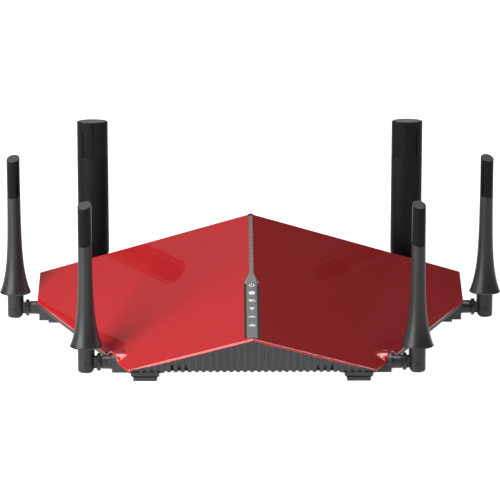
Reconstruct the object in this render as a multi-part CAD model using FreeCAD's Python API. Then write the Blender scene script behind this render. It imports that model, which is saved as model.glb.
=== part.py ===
import FreeCAD, Part
import math
import os
from FreeCAD import Vector

# Six-antenna wireless router. Millimetres, +Z up. X runs left to right and is symmetric, Y runs
# from the nose at the front to the socket wall at the back, Z = 0 is the surface it stands on.
# The functions below measure Y from the nose; save() moves every piece to the middle of the depth.

# --- driving dimensions of the body ---
NOSE_Z = 48.2          # height of the ridge at the nose
RIDGE_RISE = 0.347     # ridge climb per mm towards the back
ROOF_FALL = 0.471      # roof fall per mm away from the ridge
ROOF_T = 2.2           # roof skin, measured vertically
CORNER = (105.7, 35.5) # front corner of the roof
WINGTIP = (193.7, 202.3)
BACK_Y = 247.6         # rear corners of the roof
PEAK_Y = 186.2         # rear end of the ridge
WALL = 2.2             # case wall
GAP = 0.1              # gap between fitted case pieces
LIP = 1.0              # roof overhang past the case walls
BELLY_Z = 9.3          # underside of the case
FLOOR_Z = BELLY_Z + WALL
BAND_Y = (8.5, 182.0)    # reach of the stiffening band under the ridge
POST_R = 3.5            # screw posts that hang from the roof
SCREW_R = 1.3
SCREW_PLACES = [(side * x, y) for side in (-1, 1) for x, y in ((88.0, 96.0), (118.0, 205.0))]
SIDE_X = 192.7         # outer face of the side socket housings
WING_BAND = 5.4        # roof edge to wing underside
WING_TUCK = 0.22       # fall of the wing underside, inward from its edge

# --- front grille, feet ---
RIB_PITCH = 5.95
RIB_W = 3.3
RIB_OUT = 1.0
RIB_SPAN = 75.0
RIB_FOOT = 1.0          # belly to the foot of the ribs
GRILLE_SLOTS = (9.5, 10.5, 11.5)     # air slots, counted in rib pitches from the middle
FOOT_X = 92.0
FOOT_W = 24.5
FOOT_STEP = 2.0
FOOT_L = 17.0
FOOT_FRONT_Y = 38.5
FOOT_BACK_Y = 219.0
KEEL_R = 72.0          # the belly bulges in a shallow curve around each foot
KEEL_DROP = 3.0

# --- ridge trim and indicator panel ---
STRIP_W = 3.5
PANEL_W = 13.2
WINDOW_W = 9.2
PANEL_Y = (6.5, 85.3)
FLARE_Y = 98.3
STRIP_END_Y = 183.6
WINDOW_DROP = 2.0      # window face below the ridge line
ICON_Y = 80.6          # rearmost indicator
ICON_PITCH = 11.5
ICON_COUNT = 6
ICON_R = 2.6

# --- antennas: (name, hinge centre x, y, z) ---
SLIM = (("front_left", -143.5, 64.5, 9.9), ("front_right", 143.5, 64.5, 9.9),
        ("side_left", -214.6, 220.3, 16.6), ("side_right", 214.6, 220.3, 16.6))
WIDE = (("back_left", -144.6, 269.6, 26.0), ("back_right", 144.6, 269.6, 26.0))
FRONT_BOSS_X = 121.0
NECK = 9.3             # hinge centre to the swivel collar's outer face
COLLAR_T = 3.3
COLLAR_R = 7.7
WASHER_T = 0.6
SLEEVE_R = 6.05
SPIGOT_R = 4.05        # runs in the socket's bore
SOCKET_BORE_R = 4.10
SOCKET_INNER_R = 5.0
SOCKET_INNER_L = 16.0
LEAD_R = 0.9
BOSS_R = 8.2
FRONT_BOSS_END = 84.0  # inner end of the front socket housings
SIDE_BOSS_R = 9.8
SIDE_BOSS_END = 158.0
FAIRING_T = 1.8
FAIRING_X = 100.0      # inner end of the fairings
FAIRING_R = BOSS_R + 0.2 + FAIRING_T
ROOM_R = 6.4           # room behind each socket for the end of the antenna's spigot
TONGUE_W = 6.0
SLOT_W = 6.5
PIN_R = 1.5
PIN_BORE_R = 1.56
BARREL_R = 7.4
BARREL_DROP = 8.6
TONGUE_H = 5.2
SWING_R = 9.0          # the barrel is relieved outside this radius, to fold past the collar
RIM_UP = 14.3          # hinge centre to the skirt's rim
SLIM_H = 127.6         # rim to the tip's highest point
SLIM_TIP_R = 5.9
SKIRT_FLARE = 8.3      # extra radius at the rim
SKIRT_DECAY = 20.5     # height over which the flare dies away
SLIM_CAP = 33.6
SLIM_CUT_BACK = 22.0   # slope of the tip's cut, falling to the front, degrees
SLIM_CUT_OUT = 7.0     # and falling outward, degrees
RADOME_T = 1.3
WIDE_TOP_Z = 180.3
WIDE_RX = 14.2
WIDE_RY = 9.25
WIDE_BARREL_R = 9.2
WIDE_DROP = 10.5
WIDE_TONGUE_H = 6.0
WIDE_SWING_R = 11.0
WIDE_COLLAR_R = 8.5
WIDE_SOCKET_L = 12.0
WIDE_NECK = 12.2
WIDE_SHOULDER = 34.0   # hinge centre to the start of the full section
WIDE_CAP = 33.0
DEPTH = WIDE[0][2] + WIDE_RY

# --- rear panel: x positions of the sockets and buttons ---
PANEL_X = 108.0
PANEL_Z = (12.4, 37.5)
BOARD_X = 104.0
BOARD_Y = (112.0, 243.6)
BOARD_Z = 15.6
BOARD_T = 1.6
BOARD_TOP = BOARD_Z + BOARD_T
BOARD_SCREWS = [(side * 98.0, y) for side in (-1, 1) for y in (118.0, 215.0)]
SHIELDS = ((-68.0, 140.0, 44.0, 40.0), (68.0, 140.0, 44.0, 40.0), (68.0, 190.0, 36.0, 28.0))
FIN_COUNT = 13
FIN_PITCH = 6.0
JACK_W = 16.0
JACK_H = 13.6
JACK_L = 20.0
JACK_X = (-62.0, -45.0, -28.0, -11.0, 6.0)      # side by side, seen through one window
JACK_OPEN = (11.9, 8.6)
JACK_SILL = 2.2        # board to the bottom of the opening
USB_X = (38.0, 56.0)
USB_W = 14.5
USB_H = 7.0
USB_L = 17.0
WPS_X = 74.0
WPS_R = 3.6
RESET_X = 90.0
RESET_R = 1.4
POWER_X = -97.0
POWER_R = 5.0
DC_X = -80.0
DC_R = 3.1
BUTTON_Z = 25.0
BUTTON_GAP = 0.3
TACT_TRAVEL = 0.8
POWER_TRAVEL = 2.5
SWITCH_SETBACK = 9.0   # inside of the rear wall to the stem ends of the buttons

X_AXIS = Vector(1, 0, 0)
Y_AXIS = Vector(0, 1, 0)
Z_AXIS = Vector(0, 0, 1)
RIDGE_NORMAL = Vector(0, -RIDGE_RISE, 1).normalize()
REACH = 900.0          # size of the blocks that trim shapes by a plane
REAR_FACE = BACK_Y - LIP * 0.6
INNER_REAR = REAR_FACE - WALL


# ---------------------------------------------------------------- helpers

def box(x0, x1, y0, y1, z0, z1):
    return Part.makeBox(x1 - x0, y1 - y0, z1 - z0, Vector(x0, y0, z0))


def rod(r, length, start, along=Z_AXIS):
    return Part.makeCylinder(r, length, Vector(*start), along)


def mirrored(shape):
    return shape.mirror(Vector(0, 0, 0), X_AXIS)


def joined(shapes):
    first = shapes[0]
    return first.multiFuse(shapes[1:]).removeSplitter() if len(shapes) > 1 else first


def beyond(point, outward):
    """A large block on the outward side of a plane."""
    block = Part.makeBox(REACH, REACH, REACH, Vector(-REACH / 2, -REACH / 2, 0))
    block.Placement = FreeCAD.Placement(Vector(*point), FreeCAD.Rotation(Z_AXIS, Vector(*outward)))
    return block


def slab(outline, top, bottom):
    """A solid over a plan outline between two flat surfaces, given as functions of x and y."""
    upper = [Vector(x, y, top(x, y)) for x, y in outline]
    lower = [Vector(x, y, bottom(x, y)) for x, y in outline]
    count = len(outline)
    faces = [Part.Face(Part.makePolygon(upper + upper[:1])), Part.Face(Part.makePolygon(lower + lower[:1]))]
    for i in range(count):
        j = (i + 1) % count
        ring = [upper[i], upper[j], lower[j], lower[i], upper[i]]
        faces.append(Part.Face(Part.makePolygon(ring)))
    solid = Part.Solid(Part.Shell(faces))
    return solid if solid.Volume > 0 else solid.reversed()


def save(node, shapes):
    shapes = shapes if isinstance(shapes, (list, tuple)) else [shapes]
    solids = [solid for shape in shapes for solid in shape.Solids]
    piece = Part.Compound(solids) if len(solids) > 1 else solids[0]
    piece.translate(Vector(0, -DEPTH / 2, 0))
    piece.exportStep("parts/%s.step" % node)
    print("%-28s %2d solid(s) %9.1f mm3 valid %s" % (node, len(solids), piece.Volume, piece.isValid()))


# ---------------------------------------------------------------- body surfaces

def ridge(y):
    return NOSE_Z + RIDGE_RISE * y


def roof(x, y):
    return ridge(y) - ROOF_FALL * abs(x)


def roof_under(x, y):
    return roof(x, y) - ROOF_T


RIGHT_OUTLINE = [(0, 0), CORNER, WINGTIP, (WINGTIP[0], BACK_Y), (0, PEAK_Y)]
EDGE_LEN = math.hypot(WINGTIP[0] - CORNER[0], WINGTIP[1] - CORNER[1])
EDGE_DIR = ((WINGTIP[0] - CORNER[0]) / EDGE_LEN, (WINGTIP[1] - CORNER[1]) / EDGE_LEN)
EDGE_RISE = (roof(*WINGTIP) - roof(*CORNER)) / EDGE_LEN


def case_planes():
    """Faces of the lower case as name: (point, outward normal), right-hand side only."""
    dx, dy = EDGE_DIR
    peak_z = ridge(PEAK_Y) - ROOF_T
    corner_z = roof(WINGTIP[0], BACK_Y) - ROOF_T
    nose_z = NOSE_Z - ROOF_T
    wing_z = roof(*CORNER) - WING_BAND
    wing = (EDGE_RISE * dx + WING_TUCK * dy, EDGE_RISE * dy - WING_TUCK * dx, -1)
    return {
        "roof": ((0, 0, nose_z), (ROOF_FALL, -RIDGE_RISE, 1)),
        "slope": ((0, REAR_FACE, corner_z), (0, peak_z - corner_z, BACK_Y - PEAK_Y)),
        "rear": ((0, REAR_FACE, 0), (0, 1, 0)),
        "side": ((SIDE_X, 0, 0), (1, 0, 0)),
        "edge": ((CORNER[0] - LIP * dy, CORNER[1] + LIP * dx, 0), (dy, -dx, 0)),
        "front": ((0, LIP, nose_z), (0, BELLY_Z - nose_z, LIP - CORNER[1])),
        "wing": ((CORNER[0], CORNER[1], wing_z), wing),
        "belly": ((0, 0, BELLY_Z), (0, 0, -1)),
    }


def case_block(inset, moved=None):
    """The convex block of the case, each face moved inward by inset or by moved[name]."""
    moved = moved or {}
    block = box(-210, 210, -5, 260, 0, 125)
    for name, (point, outward) in case_planes().items():
        for sign in (1, -1) if outward[0] else (1,):
            normal = Vector(sign * outward[0], outward[1], outward[2]).normalize()
            place = Vector(sign * point[0], point[1], point[2]) - normal * moved.get(name, inset)
            block = block.cut(beyond(place, normal))
    return block


def face_plate(name, thickness, grown=0.0):
    """The slice of the case just inside one face; the other faces may be moved outward."""
    moved = {other: -grown for other in case_planes()}
    moved["roof"] += GAP / 2
    moved[name] = 0.0
    behind = {other: -grown - 1.0 for other in moved}
    behind[name] = thickness
    return case_block(0, moved).cut(case_block(0, behind))


def outline_prism():
    """Everything under the roof's plan outline."""
    half = slab(RIGHT_OUTLINE, lambda x, y: 130.0, lambda x, y: -5.0)
    return joined([half, mirrored(half)])


def ridge_band(outline, high, low):
    """A solid along the ridge between two depths below the ridge line."""
    return slab(outline, lambda x, y: ridge(y) - high, lambda x, y: ridge(y) - low)


def indicator_rods(r, start, length):
    """A rod square to the ridge below each indicator, starting below the window's face."""
    rods = []
    for i in range(ICON_COUNT):
        y = ICON_Y - i * ICON_PITCH
        face = Vector(0, y, ridge(y) - WINDOW_DROP)
        rods.append(Part.makeCylinder(r, length, face - RIDGE_NORMAL * (start + length), RIDGE_NORMAL))
    return rods


# ---------------------------------------------------------------- top cover

def trim_outline(grow):
    """Plan outline of the trim's groove, as large as the trim plus grow."""
    strip = STRIP_W / 2 + grow
    panel = PANEL_W / 2 + grow
    right = [(panel, PANEL_Y[0] - grow), (panel, PANEL_Y[1]), (strip, FLARE_Y), (strip, STRIP_END_Y + grow)]
    return right + [(-x, y) for x, y in reversed(right)]


def ridge_stiffener():
    """A band under the ridge that closes the trim's groove, hung from the roof by two cheeks."""
    near, far = BAND_Y
    floor = ridge_band([(9, near), (9, far), (-9, far), (-9, near)], 5.0, 8.0)
    cheek = ridge_band([(7.5, near), (9, near), (9, far), (7.5, far)], 4.5, 5.5)
    return [floor, cheek, mirrored(cheek)]


def fairing(side, y, z):
    """A round bulge of the roof over a front socket housing, down to the case floor."""
    bulge = rod(FAIRING_R, 50, (side * FAIRING_X, y, z), X_AXIS * side)
    return bulge.common(outline_prism()).common(box(-210, 210, 0, 200, FLOOR_Z + GAP, 60))


def top_cover():
    half = slab(RIGHT_OUTLINE, roof, roof_under)
    inside = case_block(0, {"roof": -0.5})
    posts = [rod(POST_R, ridge(y), (x, y, FLOOR_Z + GAP)).common(inside) for x, y in SCREW_PLACES]
    housings = [(math.copysign(1, x), y, z) for name, x, y, z in SLIM[:2]]
    bulges = [fairing(side, y, z) for side, y, z in housings]
    cover = joined([half, mirrored(half)] + ridge_stiffener() + bulges + posts)
    for side, y, z in housings:
        cover = cover.cut(rod(BOSS_R + 0.2, 52, (side * (FAIRING_X - 1), y, z), X_AXIS * side))
    cover = cover.cut(ridge_band(trim_outline(GAP), -5.0, 4.5))
    for hole in indicator_rods(1.9, 1.0, 10.0):
        cover = cover.cut(hole)
    for x, y in SCREW_PLACES:
        cover = cover.cut(rod(SCREW_R, 12.0, (x, y, FLOOR_Z - 0.5)))
    return cover


# ---------------------------------------------------------------- bottom case

def front_boss(side, y, z):
    tube = rod(BOSS_R, FRONT_BOSS_X - FRONT_BOSS_END, (side * FRONT_BOSS_END, y, z), X_AXIS * side)
    lower = box(FRONT_BOSS_END, FRONT_BOSS_X, y - BOSS_R, y + BOSS_R, z - 7.5, z)
    return tube.fuse(lower if side > 0 else mirrored(lower))


def side_boss(side, y, z):
    r = SIDE_BOSS_R
    tube = rod(r, SIDE_X - SIDE_BOSS_END, (side * SIDE_BOSS_END, y, z), X_AXIS * side)
    lower = box(SIDE_BOSS_END, SIDE_X, y - r, y + r, z - r, z)
    shoulder = box(SIDE_BOSS_END, SIDE_X - 8.5, y - 12.0, y + 12.0, z - r - 1.6, z)
    return joined([tube] + [b if side > 0 else mirrored(b) for b in (lower, shoulder)])


def boss_bores(side, face_x, end_x, y, z):
    """The socket's seat, and behind it a room for the spigot's end, open to the case above."""
    spigot = rod(SOCKET_INNER_R + GAP / 2, SOCKET_INNER_L, (side * face_x, y, z), X_AXIS * -side)
    room_x = face_x - SOCKET_INNER_L
    room = rod(ROOM_R, room_x - end_x - WALL, (side * room_x, y, z), X_AXIS * -side)
    hatch = box(end_x + WALL, room_x - 1.0, y - ROOM_R, y + ROOM_R, z, z + 14.0)
    return [spigot, room, hatch if side > 0 else mirrored(hatch)]


def case_shell():
    """The hollow case, open at the roof, the rear slope, the port opening and the fairings."""
    shell = case_block(0, {"roof": GAP / 2}).cut(case_block(WALL, {"roof": -2.0, "slope": -2.0}))
    shell = shell.cut(face_plate("slope", WALL + GAP, 1.0))
    for name, x, y, z in SLIM[:2]:
        side = math.copysign(1, x)
        bulge = rod(FAIRING_R + GAP, 50, (side * (FAIRING_X - GAP), y, z), X_AXIS * side)
        shell = shell.cut(bulge.common(box(-210, 210, 0, 200, FLOOR_Z, 60)))
    wide = PANEL_X + GAP
    return shell.cut(box(-wide, wide, INNER_REAR - 2, BACK_Y + 5, PANEL_Z[0] - GAP, PANEL_Z[1] + GAP))


def foot_keel(x, y):
    """The belly's shallow bulge around a foot."""
    bulge = rod(KEEL_R, FOOT_L + 5, (x, y - 2.0, BELLY_Z - KEEL_DROP + KEEL_R), Y_AXIS)
    room = box(x - 24, x + 24, y - 3, y + FOOT_L + 4, 0, FLOOR_Z - 0.5)
    return bulge.common(room).common(case_block(0, {"roof": GAP / 2, "belly": -9.0, "wing": -9.0}))


def housings():
    """Solids to add to the case and holes to cut from it for all six antenna sockets."""
    adds = []
    cuts = []
    for name, x, y, z in SLIM:
        side = math.copysign(1, x)
        if name.startswith("front"):
            adds.append(front_boss(side, y, z))
            cuts += boss_bores(side, FRONT_BOSS_X, FRONT_BOSS_END, y, z)
            cuts.append(rod(BOSS_R, 40, (side * FRONT_BOSS_X, y, z), X_AXIS * side))
        else:
            adds.append(side_boss(side, y, z))
            cuts += boss_bores(side, SIDE_X, SIDE_BOSS_END, y, z)
    for name, x, y, z in WIDE:
        adds.append(rod(9.0, 19.0, (x, REAR_FACE - 19.0, z), Y_AXIS))
        cuts.append(rod(SOCKET_INNER_R + GAP / 2, 60, (x, REAR_FACE - WIDE_SOCKET_L, z), Y_AXIS))
        cuts.append(rod(ROOM_R, 20, (x, REAR_FACE - WIDE_SOCKET_L - 20.0, z), Y_AXIS))
    return adds, cuts


def bottom_case():
    adds, cuts = housings()
    for x, y in BOARD_SCREWS:
        adds.append(rod(3.0, BOARD_Z - FLOOR_Z + 0.4, (x, y, FLOOR_Z - 0.4)))
        cuts.append(rod(1.1, 5.0, (x, y, FLOOR_Z + 0.5)))
    for x, y in SCREW_PLACES:
        cuts.append(rod(1.7, 6.0, (x, y, FLOOR_Z - 3.0)))
        cuts.append(rod(3.3, 1.2, (x, y, BELLY_Z - 0.1)))
    for x, y in feet_places():
        adds.append(foot_keel(x, y))
        cuts.append(foot_body(x, y, GAP))
    for i in range(-7, 8):
        cuts.append(box(i * 9.0 - 1.5, i * 9.0 + 1.5, 120, 200, BELLY_Z - 1, FLOOR_Z + 1))
    cuts.append(face_plate("front", WALL + GAP, 1.0))
    case = joined([case_shell()] + adds)
    for cut in cuts:
        case = case.cut(cut)
    return case


def front_grille():
    plate = face_plate("front", WALL).common(box(-110, 110, 0, 60, BELLY_Z + 0.02, 60))
    proud = case_block(0, {"front": -RIB_OUT, "belly": RIB_FOOT, "roof": GAP / 2})
    behind = case_block(0, {"front": 0.4, "roof": -1.0, "belly": -9.0, "edge": -9.0, "wing": -9.0})
    band = proud.cut(behind)
    count = int(RIB_SPAN / RIB_PITCH)
    pieces = [plate]
    for i in range(-count, count + 1):
        x = i * RIB_PITCH
        pieces += band.common(box(x - RIB_W / 2, x + RIB_W / 2, 0, 60, 0, 60)).Solids
    grille = joined(pieces)
    for place in GRILLE_SLOTS:
        for x in (-place * RIB_PITCH, place * RIB_PITCH):
            grille = grille.cut(box(x - 1.2, x + 1.2, 15, 60, 11.4, 15.6))
    return grille


def rear_cover():
    """The sloping rear panel, with rows of air slots that shorten towards the peak."""
    plate = face_plate("slope", WALL).common(box(-185, 185, 150, 260, 41.5, 130))
    corner_z = roof(WINGTIP[0], BACK_Y)
    slots = []
    for row in range(10):
        z = 48.0 + row * 5.0
        half = (ridge(PEAK_Y) - 12.0 - z) / (ridge(PEAK_Y) - corner_z) * WINGTIP[0]
        reach = int(half / 16.0)
        for i in range(-reach, reach + 1):
            slots.append(box(i * 16.0 - 5.5, i * 16.0 + 5.5, 150, 260, z, z + 2.0))
    return plate.cut(Part.Compound(slots))


def panel_holes():
    w, h = JACK_OPEN
    sill = BOARD_TOP + JACK_SILL
    edge = w / 2 + 0.4
    holes = [box(JACK_X[0] - edge, JACK_X[-1] + edge, 200, 260, sill - 0.4, sill + h + 0.4)]
    for x in USB_X:
        z = BOARD_TOP + 3.0
        holes.append(box(x - 6.7, x + 6.7, 200, 260, z - 0.2, z + 5.6))
    holes.append(rod(WPS_R + BUTTON_GAP, 60, (WPS_X, 200, BUTTON_Z), Y_AXIS))
    holes.append(rod(RESET_R + BUTTON_GAP, 60, (RESET_X, 200, BUTTON_Z), Y_AXIS))
    holes.append(rod(POWER_R + BUTTON_GAP, 60, (POWER_X, 200, BUTTON_Z), Y_AXIS))
    holes.append(rod(DC_R + 1.0, 60, (DC_X, 200, BUTTON_Z), Y_AXIS))
    return holes


def port_panel():
    plate = box(-PANEL_X, PANEL_X, INNER_REAR, REAR_FACE, PANEL_Z[0], PANEL_Z[1])
    for hole in panel_holes():
        plate = plate.cut(hole)
    return plate


def feet_places():
    return [(side * FOOT_X, y) for y in (FOOT_FRONT_Y, FOOT_BACK_Y) for side in (-1, 1)]


def foot_body(x, y, grow):
    """The upper block of a foot, let into the belly, its lower edge chamfered."""
    w = FOOT_W / 2 + grow
    low = 3.2 - grow
    body = box(x - w, x + w, y - grow, y + FOOT_L + grow, low, BELLY_Z - 0.6 + grow)
    return body.makeChamfer(1.4, [e for e in body.Edges if abs(e.BoundBox.ZMax - low) < 0.01])


def foot(x, y):
    w = FOOT_W / 2 - FOOT_STEP
    tread = box(x - w, x + w, y, y + FOOT_L - FOOT_STEP, 0, 3.2)
    return tread.fuse(foot_body(x, y, 0.0)).removeSplitter()


# ---------------------------------------------------------------- ridge trim and indicators

def ridge_trim():
    strip = STRIP_W / 2
    panel = PANEL_W / 2
    outline = [(panel, PANEL_Y[1]), (strip, FLARE_Y), (strip, STRIP_END_Y),
               (-strip, STRIP_END_Y), (-strip, FLARE_Y), (-panel, PANEL_Y[1])]
    blank = ridge_band(outline, ROOF_FALL * strip, 4.2)
    under_roof = slab([(panel, 0), (panel, PEAK_Y), (0, PEAK_Y), (0, 0)], roof, lambda x, y: 0.0)
    return blank.common(joined([under_roof, mirrored(under_roof)]))


def ridge_cap():
    """A thin cap astride the ridge that closes the strip's rear end."""
    end = PEAK_Y + 0.4
    outline = [(0, STRIP_END_Y + GAP), (3.2, STRIP_END_Y + GAP), (3.2, end), (0, end)]
    half = slab(outline, lambda x, y: roof(x, y) + 0.5, lambda x, y: roof(x, y) + 0.02)
    return joined([half, mirrored(half)])


def panel_outline(half, front, back):
    return [(half, PANEL_Y[0] + front), (half, PANEL_Y[1] - back), (-half, PANEL_Y[1] - back),
            (-half, PANEL_Y[0] + front)]


def indicator_bezel():
    outer = ridge_band(panel_outline(PANEL_W / 2, 0.0, 0.0), 3.4, 4.2)
    return outer.cut(ridge_band(panel_outline(WINDOW_W / 2 - 0.6, 1.0, 1.0), 3.0, 5.0))


def indicator_window():
    window = ridge_band(panel_outline(WINDOW_W / 2, 0.2, 0.1), WINDOW_DROP, 3.4)
    for icon in indicator_icons():
        window = window.cut(icon)
    return window


def indicator_icons():
    """Round lenses let flush into the window, one per indicator."""
    return indicator_rods(ICON_R, 0.0, 0.6)


def light_guide():
    low = ICON_Y - (ICON_COUNT - 1) * ICON_PITCH
    bar = ridge_band([(2.2, low - 3), (2.2, ICON_Y + 8), (-2.2, ICON_Y + 8), (-2.2, low - 3)], 9.0, 10.5)
    return joined(indicator_rods(1.7, 2.2, 8.2) + [bar])


def indicator_board():
    low = ICON_Y - (ICON_COUNT - 1) * ICON_PITCH
    outline = [(8, low - 2), (8, ICON_Y + 12), (-8, ICON_Y + 12), (-8, low - 2)]
    return ridge_band(outline, 15.0, 16.4)


# ---------------------------------------------------------------- electronics

def main_board():
    board = box(-BOARD_X, BOARD_X, BOARD_Y[0], BOARD_Y[1], BOARD_Z, BOARD_TOP)
    for x, y in BOARD_SCREWS:
        board = board.cut(rod(1.5, 5, (x, y, BOARD_Z - 1)))
    for x, y in SCREW_PLACES:
        board = board.cut(rod(4.2, 5, (x, y, BOARD_Z - 1)))
    return board


def heat_sink():
    sink = [box(-38, 38, 132, 186, BOARD_TOP, BOARD_TOP + 4)]
    for i in range(FIN_COUNT):
        x = (i - (FIN_COUNT - 1) / 2) * FIN_PITCH
        sink.append(box(x - 1.0, x + 1.0, 132, 186, BOARD_TOP + 3.5, BOARD_TOP + 24))
    return joined(sink)


def radio_shields():
    """Open-bottomed tin cans over the radio circuits."""
    cans = []
    for x, y, wide, deep in SHIELDS:
        w = wide / 2
        d = deep / 2
        can = box(x - w, x + w, y - d, y + d, BOARD_TOP, BOARD_TOP + 4.5)
        room = box(x - w + 0.5, x + w - 0.5, y - d + 0.5, y + d - 0.5, BOARD_TOP - 1, BOARD_TOP + 4)
        cans.append(can.cut(room))
    return cans


def network_jacks():
    z = BOARD_TOP
    w, h = JACK_OPEN
    sill = z + JACK_SILL
    jacks = []
    for x in JACK_X:
        jack = box(x - JACK_W / 2, x + JACK_W / 2, INNER_REAR - JACK_L, INNER_REAR - GAP, z, z + JACK_H)
        jack = jack.cut(box(x - w / 2, x + w / 2, INNER_REAR - 14, INNER_REAR + 1, sill, sill + h))
        jacks.append(jack)
    return jacks


def usb_sockets():
    z = BOARD_TOP + 2.6
    back = INNER_REAR - USB_L
    shells = []
    for x in USB_X:
        shell = box(x - 6.6, x + 6.6, back, REAR_FACE - 0.4, z + 0.4, z + 5.9)
        shell = shell.cut(box(x - 6.25, x + 6.25, back + 0.4, BACK_Y, z + 0.7, z + 5.6))
        foot_block = box(x - 6.6, x + 6.6, back, INNER_REAR - 1, BOARD_TOP, z + 0.4)
        shells.append(shell.fuse(foot_block))
    return shells


def usb_tongues():
    z = BOARD_TOP + 2.6
    back = INNER_REAR - USB_L + 0.4
    return [box(x - 5.5, x + 5.5, back, REAR_FACE - 1.4, z + 3.6, z + 5.4) for x in USB_X]


def dc_jack():
    body = box(DC_X - 5.5, DC_X + 5.5, INNER_REAR - 14, INNER_REAR - GAP, BOARD_TOP, BUTTON_Z + 5)
    nose = rod(DC_R + 0.8, WALL, (DC_X, INNER_REAR - GAP, BUTTON_Z), Y_AXIS)
    jack = body.fuse(nose).cut(rod(DC_R, 30, (DC_X, INNER_REAR - 10, BUTTON_Z), Y_AXIS))
    return jack.fuse(rod(1.2, 11.0, (DC_X, INNER_REAR - 10.5, BUTTON_Z), Y_AXIS))


def switch_bodies():
    """Latching mains switch behind the power button, tact switches behind the two small buttons."""
    face = INNER_REAR - SWITCH_SETBACK - 0.3
    bodies = [box(POWER_X - 5, POWER_X + 5, face - 12.7, face - POWER_TRAVEL, BOARD_TOP, BUTTON_Z + 5)]
    for x in (WPS_X, RESET_X):
        bodies.append(box(x - 3, x + 3, face - 5.7, face - TACT_TRAVEL, BOARD_TOP, BUTTON_Z + 3))
    return bodies


def button(x, r, proud):
    """A round button with a retaining flange behind the wall and a stem to its switch."""
    cap = rod(r, WALL + proud + 1.0, (x, INNER_REAR - 1.0, BUTTON_Z), Y_AXIS)
    flange = rod(r + 0.9, 1.2, (x, INNER_REAR - 1.6, BUTTON_Z), Y_AXIS)
    stem = rod(min(r, 1.8), 8.5, (x, INNER_REAR - SWITCH_SETBACK, BUTTON_Z), Y_AXIS)
    piece = joined([cap, flange, stem])
    edge = [e for e in piece.Edges if abs(e.BoundBox.YMin - REAR_FACE - proud) < 0.01]
    return piece.makeFillet(min(0.6, r * 0.35), edge)


# ---------------------------------------------------------------- antenna sockets

def socket_places():
    """(base point on the case face, outward direction, sleeve length, inner length) for all six."""
    places = []
    for name, x, y, z in SLIM:
        side = math.copysign(1, x)
        face = FRONT_BOSS_X if name.startswith("front") else SIDE_X
        length = abs(x) - NECK - COLLAR_T - WASHER_T - face
        places.append((Vector(side * face, y, z), X_AXIS * side, length, SOCKET_INNER_L))
    for name, x, y, z in WIDE:
        length = y - WIDE_NECK - COLLAR_T - WASHER_T - REAR_FACE
        places.append((Vector(x, REAR_FACE, z), Y_AXIS, length, WIDE_SOCKET_L))
    return places


def antenna_sockets():
    sockets = []
    for base, out, length, inner in socket_places():
        sleeve = Part.makeCylinder(SLEEVE_R, length, base, out)
        tail = Part.makeCylinder(SOCKET_INNER_R, inner, base - out * inner, out)
        bore = Part.makeCylinder(SOCKET_BORE_R, inner + length + 2, base - out * (inner + 1), out)
        sockets.append(sleeve.fuse(tail).cut(bore))
    return sockets


def swivel_washers():
    washers = []
    for base, out, length, inner in socket_places():
        ring = Part.makeCylinder(SLEEVE_R - 0.6, WASHER_T - GAP, base + out * length, out)
        bore = Part.makeCylinder(SOCKET_BORE_R + 0.1, 5, base + out * (length - 1), out)
        washers.append(ring.cut(bore))
    return washers


def tube(points, r, bend):
    """A round lead through the points, its corners rounded by tangent arcs."""
    edges = []
    at = points[0]
    for i in range(1, len(points) - 1):
        before = (points[i - 1] - points[i]).normalize()
        after = (points[i + 1] - points[i]).normalize()
        turn = math.pi - before.getAngle(after)
        trim = bend * math.tan(turn / 2)
        start = points[i] + before * trim
        end = points[i] + after * trim
        middle_dir = (before + after).normalize()
        middle = points[i] + middle_dir * (bend / math.cos(turn / 2) - bend)
        edges.append(Part.LineSegment(at, start).toShape())
        edges.append(Part.Arc(start, middle, end).toShape())
        at = end
    edges.append(Part.LineSegment(at, points[-1]).toShape())
    path = Part.Wire(edges)
    section = Part.Wire(Part.makeCircle(r, points[0], points[1] - points[0]))
    return path.makePipeShell([section], True, False)


def lead_routes():
    """Corner points of the three leads on the right, from each socket to a plug on the board."""
    end = BOARD_TOP + GAP
    front = [(92, 64.5, 12), (92, 64.5, 20.8), (76, 80, 22), (72, 115.5, 26), (72, 115.5, end)]
    side = [(168, 220.3, 19), (168, 220.3, 34), (122, 217, 34), (96, 200, 30), (96, 200, end)]
    back = [(144.6, 225, 26), (144.6, 213, 26), (125, 190, 28), (96, 176, 28), (96, 176, end)]
    return front, side, back


def antenna_leads():
    """Coaxial leads from each socket to the radio connectors on the main board."""
    leads = [tube([Vector(*point) for point in route], LEAD_R, 3.5) for route in lead_routes()]
    return leads + [mirrored(lead) for lead in leads]


def cross_recess(x, y, z, depth):
    along = box(x - 1.2, x + 1.2, y - 0.3, y + 0.3, z, z + depth)
    across = box(x - 0.3, x + 0.3, y - 1.2, y + 1.2, z, z + depth)
    return along.fuse(across)


def case_screws():
    pieces = []
    for x, y in SCREW_PLACES:
        head = rod(2.9, 0.9, (x, y, BELLY_Z + 0.15))
        shank = rod(SCREW_R, 9.0, (x, y, BELLY_Z + 0.9))
        pieces.append(head.fuse(shank).cut(cross_recess(x, y, BELLY_Z + 0.1, 0.7)))
    return pieces


def board_screws():
    pieces = []
    for x, y in BOARD_SCREWS:
        head = rod(2.6, 1.4, (x, y, BOARD_TOP))
        shank = rod(1.1, BOARD_TOP - FLOOR_Z - 0.6, (x, y, FLOOR_Z + 0.6))
        pieces.append(head.fuse(shank).cut(cross_recess(x, y, BOARD_TOP + 0.9, 1.0)))
    return pieces


# ---------------------------------------------------------------- antennas, hinge centre at the origin
# Local frame: the socket lies towards -X, the hinge pin runs along Y, the antenna stands along +Z.

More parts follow.
